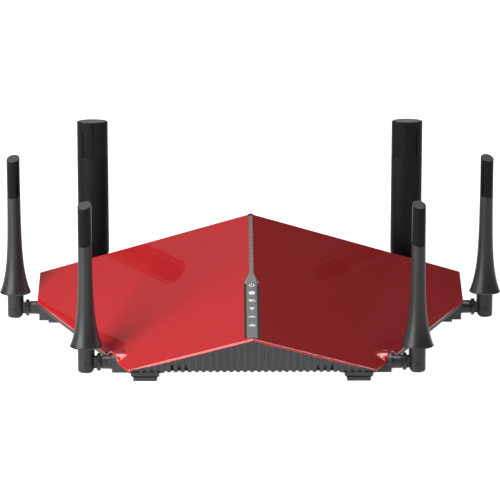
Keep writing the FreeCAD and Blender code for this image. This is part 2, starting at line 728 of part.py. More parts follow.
def knuckle(neck, spigot_len, collar_r, tongue_h):
    """Tongue, neck, collar and hollow spigot; the pin's bore runs through the tongue."""
    reach = neck + COLLAR_T
    half = TONGUE_W / 2
    tongue = rod(tongue_h, TONGUE_W, (0, -half, 0), Y_AXIS)
    arm = box(-neck - 0.2, 0, -half, half, -tongue_h, tongue_h)
    collar = rod(collar_r, COLLAR_T, (-reach, 0, 0), X_AXIS)
    collar = collar.makeChamfer(0.7, [e for e in collar.Edges if e.Length > 20 and e.Closed])
    spigot = rod(SPIGOT_R, spigot_len, (0.01 - reach - spigot_len, 0, 0), X_AXIS)
    catch = rod(5.6, 1.2, (0.4 - reach - spigot_len, 0, 0), X_AXIS)
    piece = joined([tongue, arm, collar, spigot, catch])
    piece = piece.cut(rod(PIN_BORE_R, TONGUE_W + 2, (0, -half - 1, 0), Y_AXIS))
    return piece.cut(rod(1.6, reach + spigot_len - 6, (-reach - spigot_len - 1, 0, 0), X_AXIS))


def hinge_slot(tongue_h, radius, drop):
    """Room for the tongue from the socket side, round to straight below."""
    lift = tongue_h + 0.4
    return box(-radius - 5, lift, -SLOT_W / 2, SLOT_W / 2, -drop - 5, lift)


def swing_relief(limit):
    """Everything on the lower socket side that would hit the collar when the antenna folds."""
    keep = rod(limit, 60, (0, -30, 0), Y_AXIS)
    corner = box(-60, 0, -30, 30, -60, 0)
    return corner.cut(keep)


def skirt_radius(height, inset=0.0):
    return SLIM_TIP_R + SKIRT_FLARE * math.exp(-height / SKIRT_DECAY) - inset


def slim_blank(inset, base, top):
    """The trumpet-shaped body as a solid of revolution from base to top above the rim."""
    steps = 9
    heights = [base + (top - base) * (i / steps) ** 1.6 for i in range(steps + 1)]
    curve = Part.BSplineCurve()
    curve.interpolate([Vector(skirt_radius(h, inset), 0, RIM_UP + h) for h in heights])
    start = Vector(skirt_radius(base, inset), 0, RIM_UP + base)
    end = Vector(skirt_radius(top, inset), 0, RIM_UP + top)
    low = Vector(0, 0, RIM_UP + base)
    high = Vector(0, 0, RIM_UP + top)
    edges = [Part.LineSegment(low, start).toShape(), curve.toShape(), Part.LineSegment(end, high).toShape(),
             Part.LineSegment(high, low).toShape()]
    face = Part.Face(Part.Wire(edges))
    return face.revolve(Vector(0, 0, 0), Z_AXIS, 360)


def cut_normal():
    """Normal of the slanted cut: it faces up, forward (-Y) and outward (+X)."""
    return Vector(SLIM_SLOPE_OUT, -SLIM_SLOPE_BACK, 1).normalize()


def above_cut(level):
    return beyond((0, 0, level), cut_normal())


def below_cut(level):
    return beyond((0, 0, level), cut_normal() * -1)


SLIM_SLOPE_BACK = math.tan(math.radians(SLIM_CUT_BACK))
SLIM_SLOPE_OUT = math.tan(math.radians(SLIM_CUT_OUT))
SLIM_TOP = RIM_UP + SLIM_H - SLIM_TIP_R * math.hypot(SLIM_SLOPE_BACK, SLIM_SLOPE_OUT)
SLIM_SEAM = SLIM_TOP - SLIM_CAP


def slim_radome():
    blank = slim_blank(0.0, 1.0, SLIM_H + 2.0)
    lip = rod(SLIM_TIP_R + SKIRT_FLARE, 1.0, (0, 0, RIM_UP))
    barrel = rod(BARREL_R, RIM_UP + BARREL_DROP + 1, (0, 0, -BARREL_DROP))
    barrel = barrel.makeFillet(1.6, [e for e in barrel.Edges if abs(e.BoundBox.ZMax + BARREL_DROP) < 0.01])
    body = joined([blank, lip, barrel])
    room = slim_blank(RADOME_T, 14.0, SLIM_H - 10.0)
    body = body.cut(room).cut(above_cut(SLIM_SEAM))
    body = body.cut(hinge_slot(TONGUE_H, BARREL_R, BARREL_DROP)).cut(swing_relief(SWING_R))
    return body.cut(rod(PIN_R, 40, (0, -20, 0), Y_AXIS))


def slim_tip():
    cap = slim_blank(0.0, 1.0, SLIM_H + 2.0).cut(above_cut(SLIM_TOP)).cut(below_cut(SLIM_SEAM + GAP))
    plug = rod(SLIM_TIP_R - RADOME_T - 0.2, 9.0, (0, 0, SLIM_SEAM - 5.0))
    return cap.fuse(plug).removeSplitter()


def slim_element():
    return rod(1.0, 62.0, (0, 0, RIM_UP + 15.0)).fuse(rod(2.6, 24.0, (0, 0, RIM_UP + 16.0)))


def slim_pin():
    return rod(PIN_R, 2 * BARREL_R - 1.0, (0, 0.5 - BARREL_R, 0), Y_AXIS)


def ellipse_wire(rx, ry, z):
    if rx > ry:
        shape = Part.Ellipse(Vector(rx, 0, z), Vector(0, ry, z), Vector(0, 0, z))
    else:
        shape = Part.Ellipse(Vector(0, ry, z), Vector(-rx, 0, z), Vector(0, 0, z))
    return Part.Wire(shape.toShape())


WIDE_H = WIDE_TOP_Z - WIDE[0][3]
WIDE_SEAM = WIDE_H - WIDE_CAP
WIDE_BARREL_HALF = WIDE_BARREL_R + 0.6


def ellipse_prism(rx, ry, low, high):
    return Part.Face(ellipse_wire(rx, ry, low)).extrude(Vector(0, 0, high - low))


def wide_taper(base):
    """The part below the shoulder, where the elliptical section narrows to the hinge barrel."""
    sections = []
    steps = 8
    for i in range(steps + 1):
        t = i / steps
        share = t * t * (3 - 2 * t)
        ry = WIDE_BARREL_HALF + (WIDE_RX - WIDE_BARREL_HALF) * share
        sections.append(ellipse_wire(WIDE_RY, ry, base + (WIDE_SHOULDER - base) * t))
    return Part.makeLoft(sections, True, False)


def wide_radome():
    base = 12.0
    barrel = ellipse_prism(WIDE_RY, WIDE_BARREL_HALF, -WIDE_DROP, base)
    upper = ellipse_prism(WIDE_RY, WIDE_RX, WIDE_SHOULDER, WIDE_SEAM)
    room = ellipse_prism(WIDE_RY - 1.8, WIDE_RX - 1.8, WIDE_SHOULDER + 2, WIDE_SEAM + 2)
    body = joined([barrel, wide_taper(base), upper]).cut(room)
    body = body.cut(hinge_slot(WIDE_TONGUE_H, WIDE_BARREL_R, WIDE_DROP)).cut(swing_relief(WIDE_SWING_R))
    return body.cut(rod(PIN_R, 40, (0, -20, 0), Y_AXIS))


def wide_tip():
    cap = ellipse_prism(WIDE_RY, WIDE_RX, WIDE_SEAM + GAP, WIDE_H)
    cap = cap.makeChamfer(0.7, [e for e in cap.Edges if abs(e.BoundBox.ZMin - WIDE_H) < 0.01])
    return cap.fuse(ellipse_prism(WIDE_RY - 2.0, WIDE_RX - 2.0, WIDE_SEAM - 5.0, WIDE_SEAM + 3.0))


def wide_element():
    return box(-0.6, 0.6, -9.0, 9.0, WIDE_SHOULDER + 4.0, WIDE_SHOULDER + 74.0)


def wide_pin():
    return rod(PIN_R, 2 * WIDE_BARREL_R - 1.0, (0, 0.5 - WIDE_BARREL_R, 0), Y_AXIS)


def save_slim_antennas():
    parts = {"radome": slim_radome(), "tip": slim_tip(), "element": slim_element(), "hinge_pin": slim_pin()}
    for name, x, y, z in SLIM:
        face = FRONT_BOSS_X if name.startswith("front") else SIDE_X
        spigot = abs(x) - NECK - COLLAR_T - face + SOCKET_INNER_L + 2.0
        parts["knuckle"] = knuckle(NECK, spigot, COLLAR_R, TONGUE_H)
        for part, shape in parts.items():
            placed = shape.copy() if x > 0 else mirrored(shape)
            placed.translate(Vector(x, y, z))
            save("%s_%s" % (name, part), placed)


def save_wide_antennas():
    parts = {"radome": wide_radome(), "tip": wide_tip(), "element": wide_element(), "hinge_pin": wide_pin()}
    spigot = WIDE[0][2] - WIDE_NECK - COLLAR_T - REAR_FACE + WIDE_SOCKET_L + 2.0
    parts["knuckle"] = knuckle(WIDE_NECK, spigot, WIDE_COLLAR_R, WIDE_TONGUE_H)
    for name, x, y, z in WIDE:
        for part, shape in parts.items():
            placed = shape.copy()
            placed.rotate(Vector(0, 0, 0), Z_AXIS, 90)
            placed.translate(Vector(x, y, z))
            save("%s_%s" % (name, part), placed)


def main():
    os.makedirs("parts", exist_ok=True)
    save("top_cover", top_cover())
    save("bottom_case", bottom_case())
    save("front_grille", front_grille())
    save("rear_cover", rear_cover())
    save("port_panel", port_panel())
    save("ridge_trim", ridge_trim())
    save("ridge_cap", ridge_cap())
    save("indicator_bezel", indicator_bezel())
    save("indicator_window", indicator_window())
    save("indicator_icons", indicator_icons())
    save("light_guide", light_guide())
    save("indicator_board", indicator_board())
    save("main_board", main_board())
    save("heat_sink", heat_sink())
    save("radio_shields", radio_shields())
    save("network_jacks", network_jacks())
    save("usb_sockets", usb_sockets())
    save("usb_tongues", usb_tongues())
    save("dc_jack", dc_jack())
    save("switch_bodies", switch_bodies())
    save("antenna_sockets", antenna_sockets())
    save("swivel_washers", swivel_washers())
    save("antenna_leads", antenna_leads())
    save("feet", [foot(x, y) for x, y in feet_places()])
    save("case_screws", case_screws())
    save("board_screws", board_screws())
    save("power_button", button(POWER_X, POWER_R, 1.6))
    save("wps_button", button(WPS_X, WPS_R, 0.8))
    save("reset_button", button(RESET_X, RESET_R, -0.6))
    save_slim_antennas()
    save_wide_antennas()


main()
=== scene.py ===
import math
import bmesh
import bpy
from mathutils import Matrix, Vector


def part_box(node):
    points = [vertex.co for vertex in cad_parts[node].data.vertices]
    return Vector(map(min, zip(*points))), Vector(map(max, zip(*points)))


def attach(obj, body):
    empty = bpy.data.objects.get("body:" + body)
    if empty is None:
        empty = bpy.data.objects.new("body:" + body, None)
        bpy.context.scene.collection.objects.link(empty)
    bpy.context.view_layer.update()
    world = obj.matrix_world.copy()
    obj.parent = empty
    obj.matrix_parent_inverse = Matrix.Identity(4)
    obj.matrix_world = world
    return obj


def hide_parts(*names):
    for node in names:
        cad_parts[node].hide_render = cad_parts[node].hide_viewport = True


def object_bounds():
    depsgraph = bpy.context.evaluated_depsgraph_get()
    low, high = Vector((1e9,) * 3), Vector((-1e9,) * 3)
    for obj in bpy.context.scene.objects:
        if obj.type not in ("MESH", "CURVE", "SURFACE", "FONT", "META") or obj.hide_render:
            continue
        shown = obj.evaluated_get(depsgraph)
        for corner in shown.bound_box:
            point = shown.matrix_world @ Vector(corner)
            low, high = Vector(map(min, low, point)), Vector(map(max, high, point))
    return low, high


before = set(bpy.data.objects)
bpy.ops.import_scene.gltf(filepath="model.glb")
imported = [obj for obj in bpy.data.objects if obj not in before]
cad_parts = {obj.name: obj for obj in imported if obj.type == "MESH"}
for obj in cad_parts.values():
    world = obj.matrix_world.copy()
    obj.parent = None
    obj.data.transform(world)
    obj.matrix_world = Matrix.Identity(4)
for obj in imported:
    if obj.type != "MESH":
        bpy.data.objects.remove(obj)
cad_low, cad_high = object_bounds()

MM = 0.001


# ------------------------------------------------------------------ top cover
# The red lid is one moulding in high-gloss ABS: two flat wings that meet on a ridge, a chamfered
# rim all round, and a small fairing on each side that clears the front antenna housing. It drops
# over the bottom case and is pulled down by four screws from below.
lid_low, lid_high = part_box("top_cover")
NOSE_Y = lid_low.y
BACK_Y = lid_high.y
HALF_WIDTH = lid_high.x
RIDGE_RISE = 0.347
ROOF_FALL = 0.471
CORNER = Vector((0.1057, NOSE_Y + 0.0355))
WINGTIP = Vector((HALF_WIDTH, NOSE_Y + 0.2023))
PEAK_Y = NOSE_Y + 0.1862
NOSE_Z = 0.0482
SKIN = 1.8 * MM
HUMP_R = 9.5 * MM
HUMP_BLEND = 2.2 * MM
STRIP_HALF = 1.75 * MM
PANEL_HALF = 6.6 * MM
PANEL_FRONT_Y = NOSE_Y + 6.5 * MM
PANEL_BACK_Y = NOSE_Y + 85.3 * MM
FLARE_Y = NOSE_Y + 98.3 * MM
STRIP_END_Y = NOSE_Y + 183.6 * MM
RIM_CHAMFER = 1.1 * MM


def pin_centre(antenna):
    low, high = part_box(antenna + "_hinge_pin")
    return (low + high) / 2


FRONT_PIN = pin_centre("front_right")


def ridge_z(y):
    return NOSE_Z + RIDGE_RISE * (y - NOSE_Y)


def roof_z(x, y):
    return ridge_z(y) - ROOF_FALL * abs(x)


def lid_z(x, y):
    """Height of the lid's outer face: the flat wing, blended into the round fairing."""
    flat = roof_z(x, y)
    off = abs(y - FRONT_PIN.y)
    if off < HUMP_R:
        round_top = FRONT_PIN.z + math.sqrt(HUMP_R ** 2 - off ** 2)
    else:
        round_top = FRONT_PIN.z - 3.0 * (off - HUMP_R)
    overlap = max(HUMP_BLEND - abs(flat - round_top), 0.0) / HUMP_BLEND
    return max(flat, round_top) + overlap ** 2 * HUMP_BLEND / 4


def mesh_piece(name, verts, faces, finish, body="root", replaced=(), sharp=32):
    """A closed mesh with smooth faces, sharp at real edges, riding on a body of the frame."""
    mesh = bpy.data.meshes.new(name)
    mesh.from_pydata([tuple(v) for v in verts], [], faces)
    tidy = bmesh.new()
    tidy.from_mesh(mesh)
    bmesh.ops.remove_doubles(tidy, verts=tidy.verts, dist=1e-7)
    bmesh.ops.recalc_face_normals(tidy, faces=tidy.faces)
    tidy.to_mesh(mesh)
    tidy.free()
    for face in mesh.polygons:
        face.use_smooth = True
    mesh.set_sharp_from_angle(angle=math.radians(sharp))
    piece = bpy.data.objects.new(name, mesh)
    bpy.context.scene.collection.objects.link(piece)
    mesh.materials.append(finish)
    weighted = piece.modifiers.new("even_shading", "WEIGHTED_NORMAL")
    weighted.keep_sharp = True
    weighted.weight = 80
    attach(piece, body)
    if replaced:
        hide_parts(*replaced)
    return piece


def moulded(name, colour, roughness, grain=0.35 * MM, depth=0.02, mottle=0.05, coat=0.0, metallic=0.0,
            coat_roughness=0.03, spread=0.06, sheen=0.5):
    """Moulded plastic: fine surface grain as bump, a slow drift of colour and of roughness."""
    mat = bpy.data.materials.new(name)
    mat.use_nodes = True
    nodes = mat.node_tree.nodes
    links = mat.node_tree.links
    shader = nodes["Principled BSDF"]
    shader.inputs["Metallic"].default_value = metallic
    shader.inputs["Coat Weight"].default_value = coat
    shader.inputs["Coat Roughness"].default_value = coat_roughness
    shader.inputs["Specular IOR Level"].default_value = sheen
    place = nodes.new("ShaderNodeTexCoord")

    def noise(scale, detail):
        node = nodes.new("ShaderNodeTexNoise")
        node.inputs["Scale"].default_value = scale
        node.inputs["Detail"].default_value = detail
        links.new(place.outputs["Object"], node.inputs["Vector"])
        return node.outputs["Fac"]

    tone = nodes.new("ShaderNodeMix")
    tone.data_type = "RGBA"
    tone.inputs["A"].default_value = [c * (1 - mottle) for c in colour] + [1]
    tone.inputs["B"].default_value = [min(c * (1 + mottle), 1) for c in colour] + [1]
    links.new(noise(55, 4), tone.inputs["Factor"])
    links.new(tone.outputs["Result"], shader.inputs["Base Color"])
    polish = nodes.new("ShaderNodeMapRange")
    polish.inputs["To Min"].default_value = max(roughness - spread, 0.01)
    polish.inputs["To Max"].default_value = roughness + spread
    links.new(noise(140, 3), polish.inputs["Value"])
    links.new(polish.outputs["Result"], shader.inputs["Roughness"])
    bump = nodes.new("ShaderNodeBump")
    bump.inputs["Strength"].default_value = 1.0
    bump.inputs["Distance"].default_value = depth * MM
    links.new(noise(1 / grain, 2), bump.inputs["Height"])
    links.new(bump.outputs["Normal"], shader.inputs["Normal"])
    return mat


gloss_red = moulded("gloss_red", (0.55, 0.012, 0.016), 0.4, grain=9 * MM, depth=0.012, mottle=0.03,
                    coat=1.0, coat_roughness=0.02, spread=0.03, sheen=0.1)


def inset_loop(points, amount):
    """A closed plan outline moved inward, counter-clockwise, keeping its corners mitred."""
    moved = []
    count = len(points)
    for i in range(count):
        before = (points[i] - points[i - 1]).normalized()
        after = (points[(i + 1) % count] - points[i]).normalized()
        in_before = Vector((-before.y, before.x))
        in_after = Vector((-after.y, after.x))
        bisector = (in_before + in_after).normalized()
        moved.append(points[i] + bisector * (amount / max(bisector.dot(in_after), 0.3)))
    return moved


HUMP_START = 6 * MM     # the stretch of the side edge that the fairing is on, from the front corner
HUMP_END = 62 * MM
HUMP_STEPS = 150
HUMP_DEPTH = 34 * MM
HUMP_ROWS = 60
edge_dir = (WINGTIP - CORNER).normalized()
edge_in = Vector((-edge_dir.y, edge_dir.x))
hump_s = [HUMP_START + (HUMP_END - HUMP_START) * i / HUMP_STEPS for i in range(HUMP_STEPS + 1)]


def lid_outline():
    right = [Vector((0, NOSE_Y)), CORNER]
    right += [CORNER + edge_dir * s for s in hump_s]
    right += [WINGTIP, Vector((HALF_WIDTH, BACK_Y)), Vector((0, PEAK_Y))]
    left = [Vector((-p.x, p.y)) for p in reversed(right[1:-1])]
    return right, right + left


def trim_outline(grow):
    strip = STRIP_HALF + grow
    panel = PANEL_HALF + grow
    front, back = PANEL_FRONT_Y - grow, STRIP_END_Y + grow
    right = [(panel, front), (panel, PANEL_BACK_Y), (strip, FLARE_Y), (strip, back)]
    return [Vector(p) for p in right]


def lid_mesh():
    right, outline = lid_outline()
    verts, faces = [], []

    def add(x, y, drop):
        verts.append((x, y, lid_z(x, y) - drop))
        return len(verts) - 1

    def loop_ring(points, drop):
        return [add(p.x, p.y, drop) for p in points]

    def bridge(a, b):
        for i in range(len(a)):
            j = (i + 1) % len(a)
            faces.append((a[i], a[j], b[j], b[i]))

    half_count = len(right)
    slot_right = trim_outline(0.1 * MM)
    slot_outline = slot_right + [Vector((-p.x, p.y)) for p in reversed(slot_right)]
    skins = []
    for inset, drop in ((RIM_CHAMFER, 0.0), (RIM_CHAMFER, SKIN)):
        ring = inset_loop(outline, inset)
        ids = loop_ring(ring, drop)
        slot_ids = loop_ring(slot_outline, drop)
        for side in (1, -1):
            half = ids[:half_count] if side > 0 else [ids[0]] + ids[:half_count - 2:-1]
            grid = [half[2:3 + HUMP_STEPS]]
            for row in range(1, HUMP_ROWS + 1):
                depth = inset + (HUMP_DEPTH - inset) * row / HUMP_ROWS
                line = []
                for s in hump_s:
                    p = CORNER + edge_dir * s + edge_in * depth
                    line.append(add(side * p.x, p.y, drop))
                grid.append(line)
            for row in range(HUMP_ROWS):
                for i in range(HUMP_STEPS):
                    faces.append((grid[row][i], grid[row][i + 1], grid[row + 1][i + 1], grid[row + 1][i]))
            around = [line[0] for line in grid] + grid[-1][1:]
            around += [line[-1] for line in reversed(grid)][1:]
            slot_half = slot_ids[:4] if side > 0 else list(reversed(slot_ids[4:]))
            faces.append(tuple(half[:2] + around + half[3 + HUMP_STEPS:] + list(reversed(slot_half))))
        skins.append((ids, slot_ids))
    arc_steps = 3
    rings = [skins[0][0]]
    for i in range(1, arc_steps + 1):
        turn = math.pi / 2 * i / arc_steps
        ring = inset_loop(outline, RIM_CHAMFER * (1 - math.sin(turn)))
        rings.append(loop_ring(ring, RIM_CHAMFER * (1 - math.cos(turn))))
    rings.append(loop_ring(inset_loop(outline, 0.02 * MM), SKIN - 0.15 * MM))
    rings.append(skins[1][0])
    for a, b in zip(rings, rings[1:]):
        bridge(a, b)
    bridge(skins[0][1], skins[1][1])
    return verts, faces


verts, faces = lid_mesh()
mesh_piece("roof_shell", verts, faces, gloss_red, replaced=["top_cover"])


# ------------------------------------------------------------------ bottom case
# The black tray is moulded in fine-textured ABS. It carries the board on standoffs, holds the six
# antenna sockets in its housings, and rests on four rubber feet let into its belly.
case_black = moulded("case_black", (0.026, 0.026, 0.027), 0.5, grain=0.5 * MM, depth=0.05, mottle=0.08)


def dress(finish, *names):
    """A finish for nodes of the frame that keep their own shape."""
    for name in names:
        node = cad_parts[name]
        node.data.materials.clear()
        node.data.materials.append(finish)


dress(case_black, "bottom_case", "rear_cover", "port_panel")


# ------------------------------------------------------------------ front grille
# The undercut front wall is a separate black panel. Upright ribs stand on it, one every 6 mm, and
# their feet stick out below as teeth; small air slots sit between the outer ribs.
RIB_PITCH = 5.95 * MM
RIB_HALF = 1.75 * MM
RIB_OUT = 1.1 * MM
RIB_TOOTH = 0.4 * MM
RIB_COUNT = 16
RIB_ROOT = 1.2 * MM     # how far each rib is sunk in the wall
WALL_T = 1.6 * MM
WALL_FOOT = Vector((0, NOSE_Y + 34.6 * MM, 10.2 * MM))
WALL_HEAD = Vector((0, NOSE_Y + 0.9 * MM, NOSE_Z - 1.7 * MM))
SLOT_HALF = 1.3 * MM
SLOT_SHARES = (0.04, 0.19)
GRILLE_HALF = 104.5 * MM
SLOT_PLACES = (9.5, 10.5, 11.5)
wall_up = WALL_HEAD - WALL_FOOT
wall_out = Vector((0, -wall_up.z, wall_up.y)).normalized()


def wall_share(x):
    """How far up the front wall the lid's underside lies at this x, as a share of its height."""
    rise = roof_z(x, WALL_FOOT.y) - SKIN + 0.3 * MM - WALL_FOOT.z
    return max(rise / (wall_up.z - RIDGE_RISE * wall_up.y), 0.0)


def wall_point(x, share, out):
    p = WALL_FOOT + wall_up * share + wall_out * out
    return (x, p.y, p.z)


def rib(x, verts, faces):
    profile = []
    steps = 8
    for i in range(steps + 1):
        turn = math.pi * i / steps
        profile.append((-RIB_HALF * math.cos(turn), RIB_OUT * math.sin(turn) ** 0.6))
    start = len(verts)
    tooth = RIB_TOOTH / wall_up.length
    for across, out in profile:
        verts.append(wall_point(x + across, -tooth * (0.55 if out < 0.2 * MM else 1.0), out))
        verts.append(wall_point(x + across, wall_share(x + across), out))
    for across, out in profile:
        verts.append(wall_point(x + across, -tooth * 0.8, -RIB_ROOT))
        verts.append(wall_point(x + across, wall_share(x + across), -RIB_ROOT))
    count = steps + 1
    for i in range(steps):
        a = start + 2 * i
        b = a + 2 * count
        faces.append((a, a + 2, a + 3, a + 1))
        faces.append((b, b + 1, b + 3, b + 2))
        faces.append((a, b, b + 2, a + 2))
        faces.append((a + 1, a + 3, b + 3, b + 1))
    for a in (start, start + 2 * steps):
        faces.append((a, a + 1, a + 2 * count + 1, a + 2 * count))


def wall_strip(x0, x1, share0, share1, verts, faces):
    """A flat piece of the wall between two places across and two heights."""
    start = len(verts)
    for out in (0.0, -WALL_T):
        for x, share in ((x0, share0), (x1, share0), (x1, share1), (x0, share1)):
            verts.append(wall_point(x, min(share, wall_share(x)), out))
    a = start
    faces += [(a, a + 1, a + 2, a + 3), (a + 7, a + 6, a + 5, a + 4)]
    for i in range(4):
        j = (i + 1) % 4
        faces.append((a + i, a + 4 + i, a + 4 + j, a + j))


def grille_mesh():
    verts, faces = [], []
    slots = sorted(side * s * RIB_PITCH for s in SLOT_PLACES for side in (-1, 1))
    edges = [-GRILLE_HALF]
    for x in slots:
        edges += [x - SLOT_HALF, x + SLOT_HALF]
    edges = sorted(edges + [0.0, GRILLE_HALF])
    for x0, x1 in zip(edges, edges[1:]):
        is_slot = any(abs((x0 + x1) / 2 - x) < 0.2 * MM for x in slots)
        if is_slot:
            wall_strip(x0, x1, 0.0, SLOT_SHARES[0], verts, faces)
            wall_strip(x0, x1, SLOT_SHARES[1], 1.0, verts, faces)
        else:
            wall_strip(x0, x1, 0.0, 1.0, verts, faces)
    for i in range(-RIB_COUNT, RIB_COUNT + 1):
        rib(i * RIB_PITCH, verts, faces)
    return verts, faces


verts, faces = grille_mesh()
grille_black = moulded("grille_black", (0.009, 0.009, 0.0092), 0.46, grain=0.5 * MM, depth=0.03,
                       mottle=0.08, sheen=0.35)
mesh_piece("front_grille_ribs", verts, faces, grille_black, replaced=["front_grille"])


# ------------------------------------------------------------------ ridge trim
# A narrow satin grey strip is let into the ridge. Near the front it flares, with a facet on each
# side, into the head of the indicator panel. It clips in from above; a dark cap closes its end.
TRIM_DEPTH = 4.0 * MM
TRIM_BEVEL = 0.25 * MM
CAP_HALF = 3.0 * MM
CAP_END_HALF = 2.4 * MM
WINDOW_HALF = 4.6 * MM     # the trim ends against the window
WINDOW_DROP = 2.0 * MM
trim_grey = moulded("trim_grey", (0.255, 0.24, 0.24), 0.32, grain=0.5 * MM, depth=0.006, mottle=0.03,
                    coat=0.6, coat_roughness=0.08)
cap_black = moulded("cap_black", (0.05, 0.005, 0.006), 0.25, grain=2 * MM, depth=0.005, coat=0.6)


def prism(tops, depth):
    """A block under a ring of top points, as deep as asked."""
    count = len(tops)
    verts = [tuple(p) for p in tops] + [(p[0], p[1], p[2] - depth) for p in tops]
    faces = [tuple(range(count)), tuple(range(2 * count - 1, count - 1, -1))]
    faces += [(i, i + count, (i + 1) % count + count, (i + 1) % count) for i in range(count)]
    return verts, faces


def trim_mesh():
    flat = ROOF_FALL * STRIP_HALF
    edge = ROOF_FALL * PANEL_HALF
    verts, faces = [], []

    def level(x, y, drop):
        verts.append((x, y, ridge_z(y) - drop))
        return len(verts) - 1

    def strip_row(y):
        low = flat + TRIM_BEVEL
        inner = STRIP_HALF - TRIM_BEVEL
        return [level(-STRIP_HALF, y, low), level(-inner, y, flat), level(inner, y, flat),
                level(STRIP_HALF, y, low)]

    strip = [strip_row(FLARE_Y), strip_row(STRIP_END_Y)]
    flare = [level(-PANEL_HALF, PANEL_BACK_Y, edge), level(-WINDOW_HALF, PANEL_BACK_Y, WINDOW_DROP),
             level(WINDOW_HALF, PANEL_BACK_Y, WINDOW_DROP), level(PANEL_HALF, PANEL_BACK_Y, edge)]
    table = [flare] + strip
    for a, b in zip(table, table[1:]):
        for i in range(3):
            faces.append((a[i], a[i + 1], b[i + 1], b[i]))
    low = []
    for row in table:
        low.append([])
        for v in (row[0], row[3]):
            x, y = verts[v][:2]
            verts.append((x, y, ridge_z(y) - TRIM_DEPTH - edge * 0.2))
            low[-1].append(len(verts) - 1)
    for (a, la), (b, lb) in zip(zip(table, low), zip(table[1:], low[1:])):
        faces.append((a[0], b[0], lb[0], la[0]))
        faces.append((a[3], la[1], lb[1], b[3]))
        faces.append((la[0], lb[0], lb[1], la[1]))
    faces.append((table[0][0], low[0][0], low[0][1], table[0][3], table[0][2], table[0][1]))
    faces.append((table[-1][0], table[-1][1], table[-1][2], table[-1][3], low[-1][1], low[-1][0]))
    return verts, faces


verts, faces = trim_mesh()
mesh_piece("ridge_strip", verts, faces, trim_grey, replaced=["ridge_trim"], sharp=20)
cap_front_y = STRIP_END_Y + 0.2 * MM
cap_back_y = PEAK_Y + 0.2 * MM
cap_tops = [(x, y, roof_z(x, y) + 0.25 * MM) for x, y in (
    (-CAP_HALF, cap_front_y), (0, cap_front_y), (CAP_HALF, cap_front_y),
    (CAP_END_HALF, cap_back_y), (0, PEAK_Y - 0.1 * MM), (-CAP_END_HALF, cap_back_y))]
verts, faces = prism(cap_tops, 0.9 * MM)
mesh_piece("ridge_end_cap", verts, faces, cap_black, replaced=["ridge_cap"])


# ------------------------------------------------------------------ indicator panel
# A black frame is sunk into the ridge, with a grey smoked window standing proud in its middle.
# Six white symbols are printed on the window and light up from pipes below.
bezel_black = moulded("bezel_black", (0.012, 0.011, 0.011), 0.3, grain=1 * MM, depth=0.01, coat=0.5)
window_grey = moulded("window_grey", (0.235, 0.235, 0.238), 0.3, grain=1 * MM, depth=0.006, coat=0.3)
symbol_white = moulded("symbol_white", (0.9, 0.9, 0.9), 0.4, grain=1 * MM, depth=0.004, mottle=0.02)
glow = symbol_white.node_tree.nodes["Principled BSDF"]
glow.inputs["Emission Color"].default_value = (1, 1, 1, 1)
glow.inputs["Emission Strength"].default_value = 0.3
dress(bezel_black, "indicator_bezel")
WINDOW_EDGE = 0.35 * MM
WINDOW_FOOT = 3.4 * MM
STROKE_W = 0.7 * MM
STROKE_LIFT = 0.06 * MM
ICON_PITCH = 11.5 * MM
ICON_BACK_Y = NOSE_Y + 80.6 * MM
ICON_HALF = 2.6 * MM
along_ridge = Vector((0, 1, RIDGE_RISE)).normalized()
off_ridge = Vector((0, -RIDGE_RISE, 1)).normalized()


def window_mesh():
    y0, y1 = PANEL_FRONT_Y + 0.3 * MM, PANEL_BACK_Y - 0.05 * MM
    verts = []
    for inset, drop in ((0.0, WINDOW_FOOT), (0.0, WINDOW_DROP + WINDOW_EDGE), (WINDOW_EDGE, WINDOW_DROP)):
        for side, y in ((-1, y0), (1, y0), (1, y1), (-1, y1)):
            along = y + (inset if y == y0 else 0)
            verts.append((side * (WINDOW_HALF - inset), along, ridge_z(along) - drop))
    faces = [(3, 2, 1, 0), (8, 9, 10, 11)]
    for ring in (0, 4):
        faces += [(ring + i, ring + (i + 1) % 4, ring + 4 + (i + 1) % 4, ring + 4 + i) for i in range(4)]
    return verts, faces


verts, faces = window_mesh()
mesh_piece("indicator_pane", verts, faces, window_grey,
           replaced=["indicator_window", "indicator_icons"], sharp=20)


def symbol(strokes, centre_y, verts, faces):
    """Strokes are lists of points in a square from -1 to 1; each is drawn as a thin raised band."""
    base = Vector((0, centre_y, ridge_z(centre_y) - WINDOW_DROP))
    for stroke, closed in strokes:
        count = len(stroke)
        rows = []
        for i, (u, v) in enumerate(stroke):
            here = Vector((u, v))
            prev = Vector(stroke[i - 1]) if i or closed else here
            after = Vector(stroke[(i + 1) % count]) if i < count - 1 or closed else here
            way = (after - prev).normalized()
            side = Vector((-way.y, way.x)) * (STROKE_W / 2)
            rows.append([])
            for sign in (-1, 1):
                p = here * ICON_HALF + side * sign
                for up in (0.0, STROKE_LIFT):
                    spot = base + Vector((p.x, 0, 0)) + along_ridge * p.y + off_ridge * up
                    verts.append(tuple(spot))
                    rows[-1].append(len(verts) - 1)
        spans = count if closed else count - 1
        for i in range(spans):
            a, b = rows[i], rows[(i + 1) % count]
            faces.extend([(a[1], a[3], b[3], b[1]), (a[0], b[0], b[2], a[2]),
                          (a[0], a[1], b[1], b[0]), (a[2], b[2], b[3], a[3])])
        if not closed:
            for a in (rows[0], rows[-1]):
                faces.append((a[0], a[2], a[3], a[1]))


def arc(radius, start, end, cx=0.0, cy=0.0, steps=20, squash=1.0):
    turns = [math.radians(start + (end - start) * i / steps) for i in range(steps + 1)]
    return [(cx + radius * squash * math.cos(t), cy + radius * math.sin(t)) for t in turns]


def waves(cx, sizes):
    return [(arc(r, 45, 135, cx, -0.5), False) for r in sizes]


def square(cx, cy, r):
    return ([(cx - r, cy - r), (cx + r, cy - r), (cx + r, cy + r), (cx - r, cy + r)], True)


